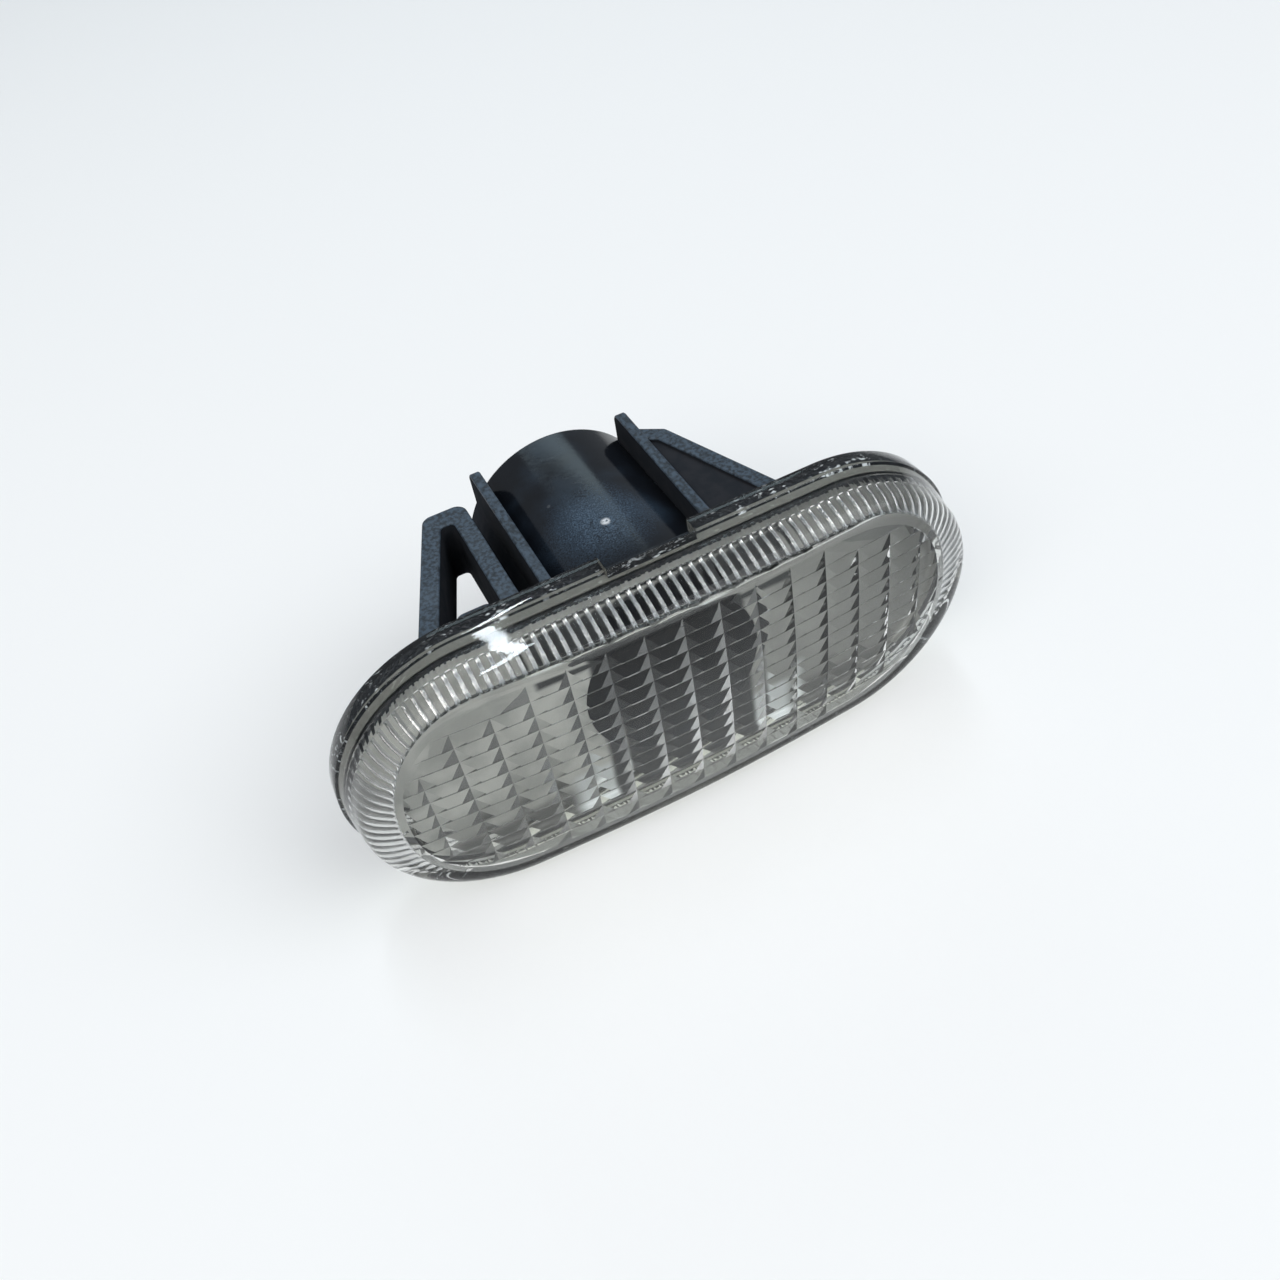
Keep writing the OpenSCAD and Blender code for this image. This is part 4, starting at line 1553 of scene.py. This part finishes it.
    def build(self) -> Object:
        """Builds the whole housing.

        Returns:
            The housing object.
        """
        self.build_shell()
        self.build_fins()
        self.build_clips()
        made = self.mesh("dark_housing")
        self.face_out(made)
        made.set_sharp_from_angle(angle=math.radians(self.crease))
        piece = self.finish(made, {Region.FROST: 1, Region.BOWL: 2, Region.FLANK: 3})
        piece.modifiers.new("even_shading", "WEIGHTED_NORMAL").keep_sharp = True
        return piece

    def dress(self, piece: Object, shelf: GroupShelf) -> None:
        """Gives the housing its finishes and ties it to the frame.

        Args:
            piece: The housing object.
            shelf: The shared node groups.
        """
        for finish in (GlossBlack(), FrostedEdge(), SatinBowl(), DullFlank()):
            piece.data.materials.append(finish.build(shelf))
        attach(piece, "root")
        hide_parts("housing")


# Studio


@dataclass(frozen=True)
class Panel:
    """One soft light panel: where it hangs, its size, watts and colour."""

    name: str
    place: Corner
    size: Span
    power: float
    colour: Colour


PANELS = (
    Panel("rear_panel", (0.13, 0.78, 0.5), (0.56, 0.13), 0.38, (0.72, 0.92, 1.0)),
    Panel("strip_panel", (0.083, 0.381, 0.884), (0.02, 0.4), 1.1, (0.85, 0.93, 1.0)),
    Panel("left_panel", (-0.9, -0.6, 1.3), (1.2, 1.2), 15.0, (1.0, 0.98, 0.95)),
    Panel("right_panel", (0.9, -0.6, 1.3), (1.2, 1.2), 13.0, (0.95, 0.98, 1.0)),
)


@dataclass
class Studio:
    """Camera, floor and lights round the lamp, in metres."""

    eye: Corner = (-0.04017, -0.10904, 0.12967)
    turn: Corner = (42.1118, 6.9546, -26.8376)
    lens: float = 31.685
    floor_z: float = -0.0238
    floor_reach: float = 6.0
    sky: Colour = (0.86, 0.93, 1.0)
    sky_level: float = 0.3

    @staticmethod
    def hang(name: str, data: ID) -> Object:
        """Puts a camera, mesh or light in the scene.

        Args:
            name: The object's name.
            data: What it shows.

        Returns:
            The new object.
        """
        made = bpy.data.objects.new(name, data)
        bpy.context.scene.collection.objects.link(made)
        return made

    def camera(self) -> None:
        """Adds the camera at the photograph's viewing angle."""
        data = bpy.data.cameras.new("camera")
        data.lens = self.lens
        data.sensor_width = 36.0
        data.clip_start = 0.005
        data.clip_end = 50.0
        made = self.hang("camera", data)
        made.location = self.eye
        made.rotation_euler = Euler([math.radians(a) for a in self.turn], "XYZ")
        bpy.context.scene.camera = made

    def floor(self, finish: PaleFloor) -> None:
        """Adds the pale floor under the lamp.

        Args:
            finish: The floor's finish.
        """
        mesh = bpy.data.meshes.new("floor")
        r, z = self.floor_reach, self.floor_z
        mesh.from_pydata([(-r, -r, z), (r, -r, z), (r, r, z), (-r, r, z)], [], [(0, 1, 2, 3)])
        mesh.materials.append(finish.build())
        self.hang("floor", mesh)

    def light(self, panel: Panel) -> None:
        """Adds a soft light panel aimed at the lamp.

        Args:
            panel: The panel.
        """
        data = bpy.data.lights.new(panel.name, "AREA")
        data.shape = "RECTANGLE"
        data.size, data.size_y = panel.size
        data.energy = panel.power
        data.color = panel.colour
        made = self.hang(panel.name, data)
        made.location = panel.place
        made.rotation_euler = (-Vector(panel.place)).to_track_quat("-Z", "Y").to_euler()

    def world(self) -> None:
        """Sets an even grey surrounding."""
        made = bpy.data.worlds.new("studio")
        bpy.context.scene.world = made
        made.use_nodes = True
        feeds = {"Color": self.sky, "Strength": self.sky_level}
        Shading(made.node_tree).fill(made.node_tree.nodes["Background"], feeds)

    def build(self) -> None:
        """Builds the whole studio."""
        self.camera()
        self.floor(PaleFloor())
        self.world()
        for panel in PANELS:
            self.light(panel)
        bpy.context.scene.view_settings.view_transform = "Standard"


def main() -> None:
    """Builds every piece in order and reports it."""
    logging.basicConfig(level=logging.INFO, format="%(name)s: %(message)s")
    shelf = GroupShelf()
    for label, maker in (("clear lens", ClearLens()), ("dark housing", DarkHousing())):
        piece = maker.build()
        maker.dress(piece, shelf)
        log.info("%s: %d faces", label, len(piece.data.polygons))
    Studio().build()
    log.info("studio: camera, floor and lights")


if __name__ == "__main__":
    main()
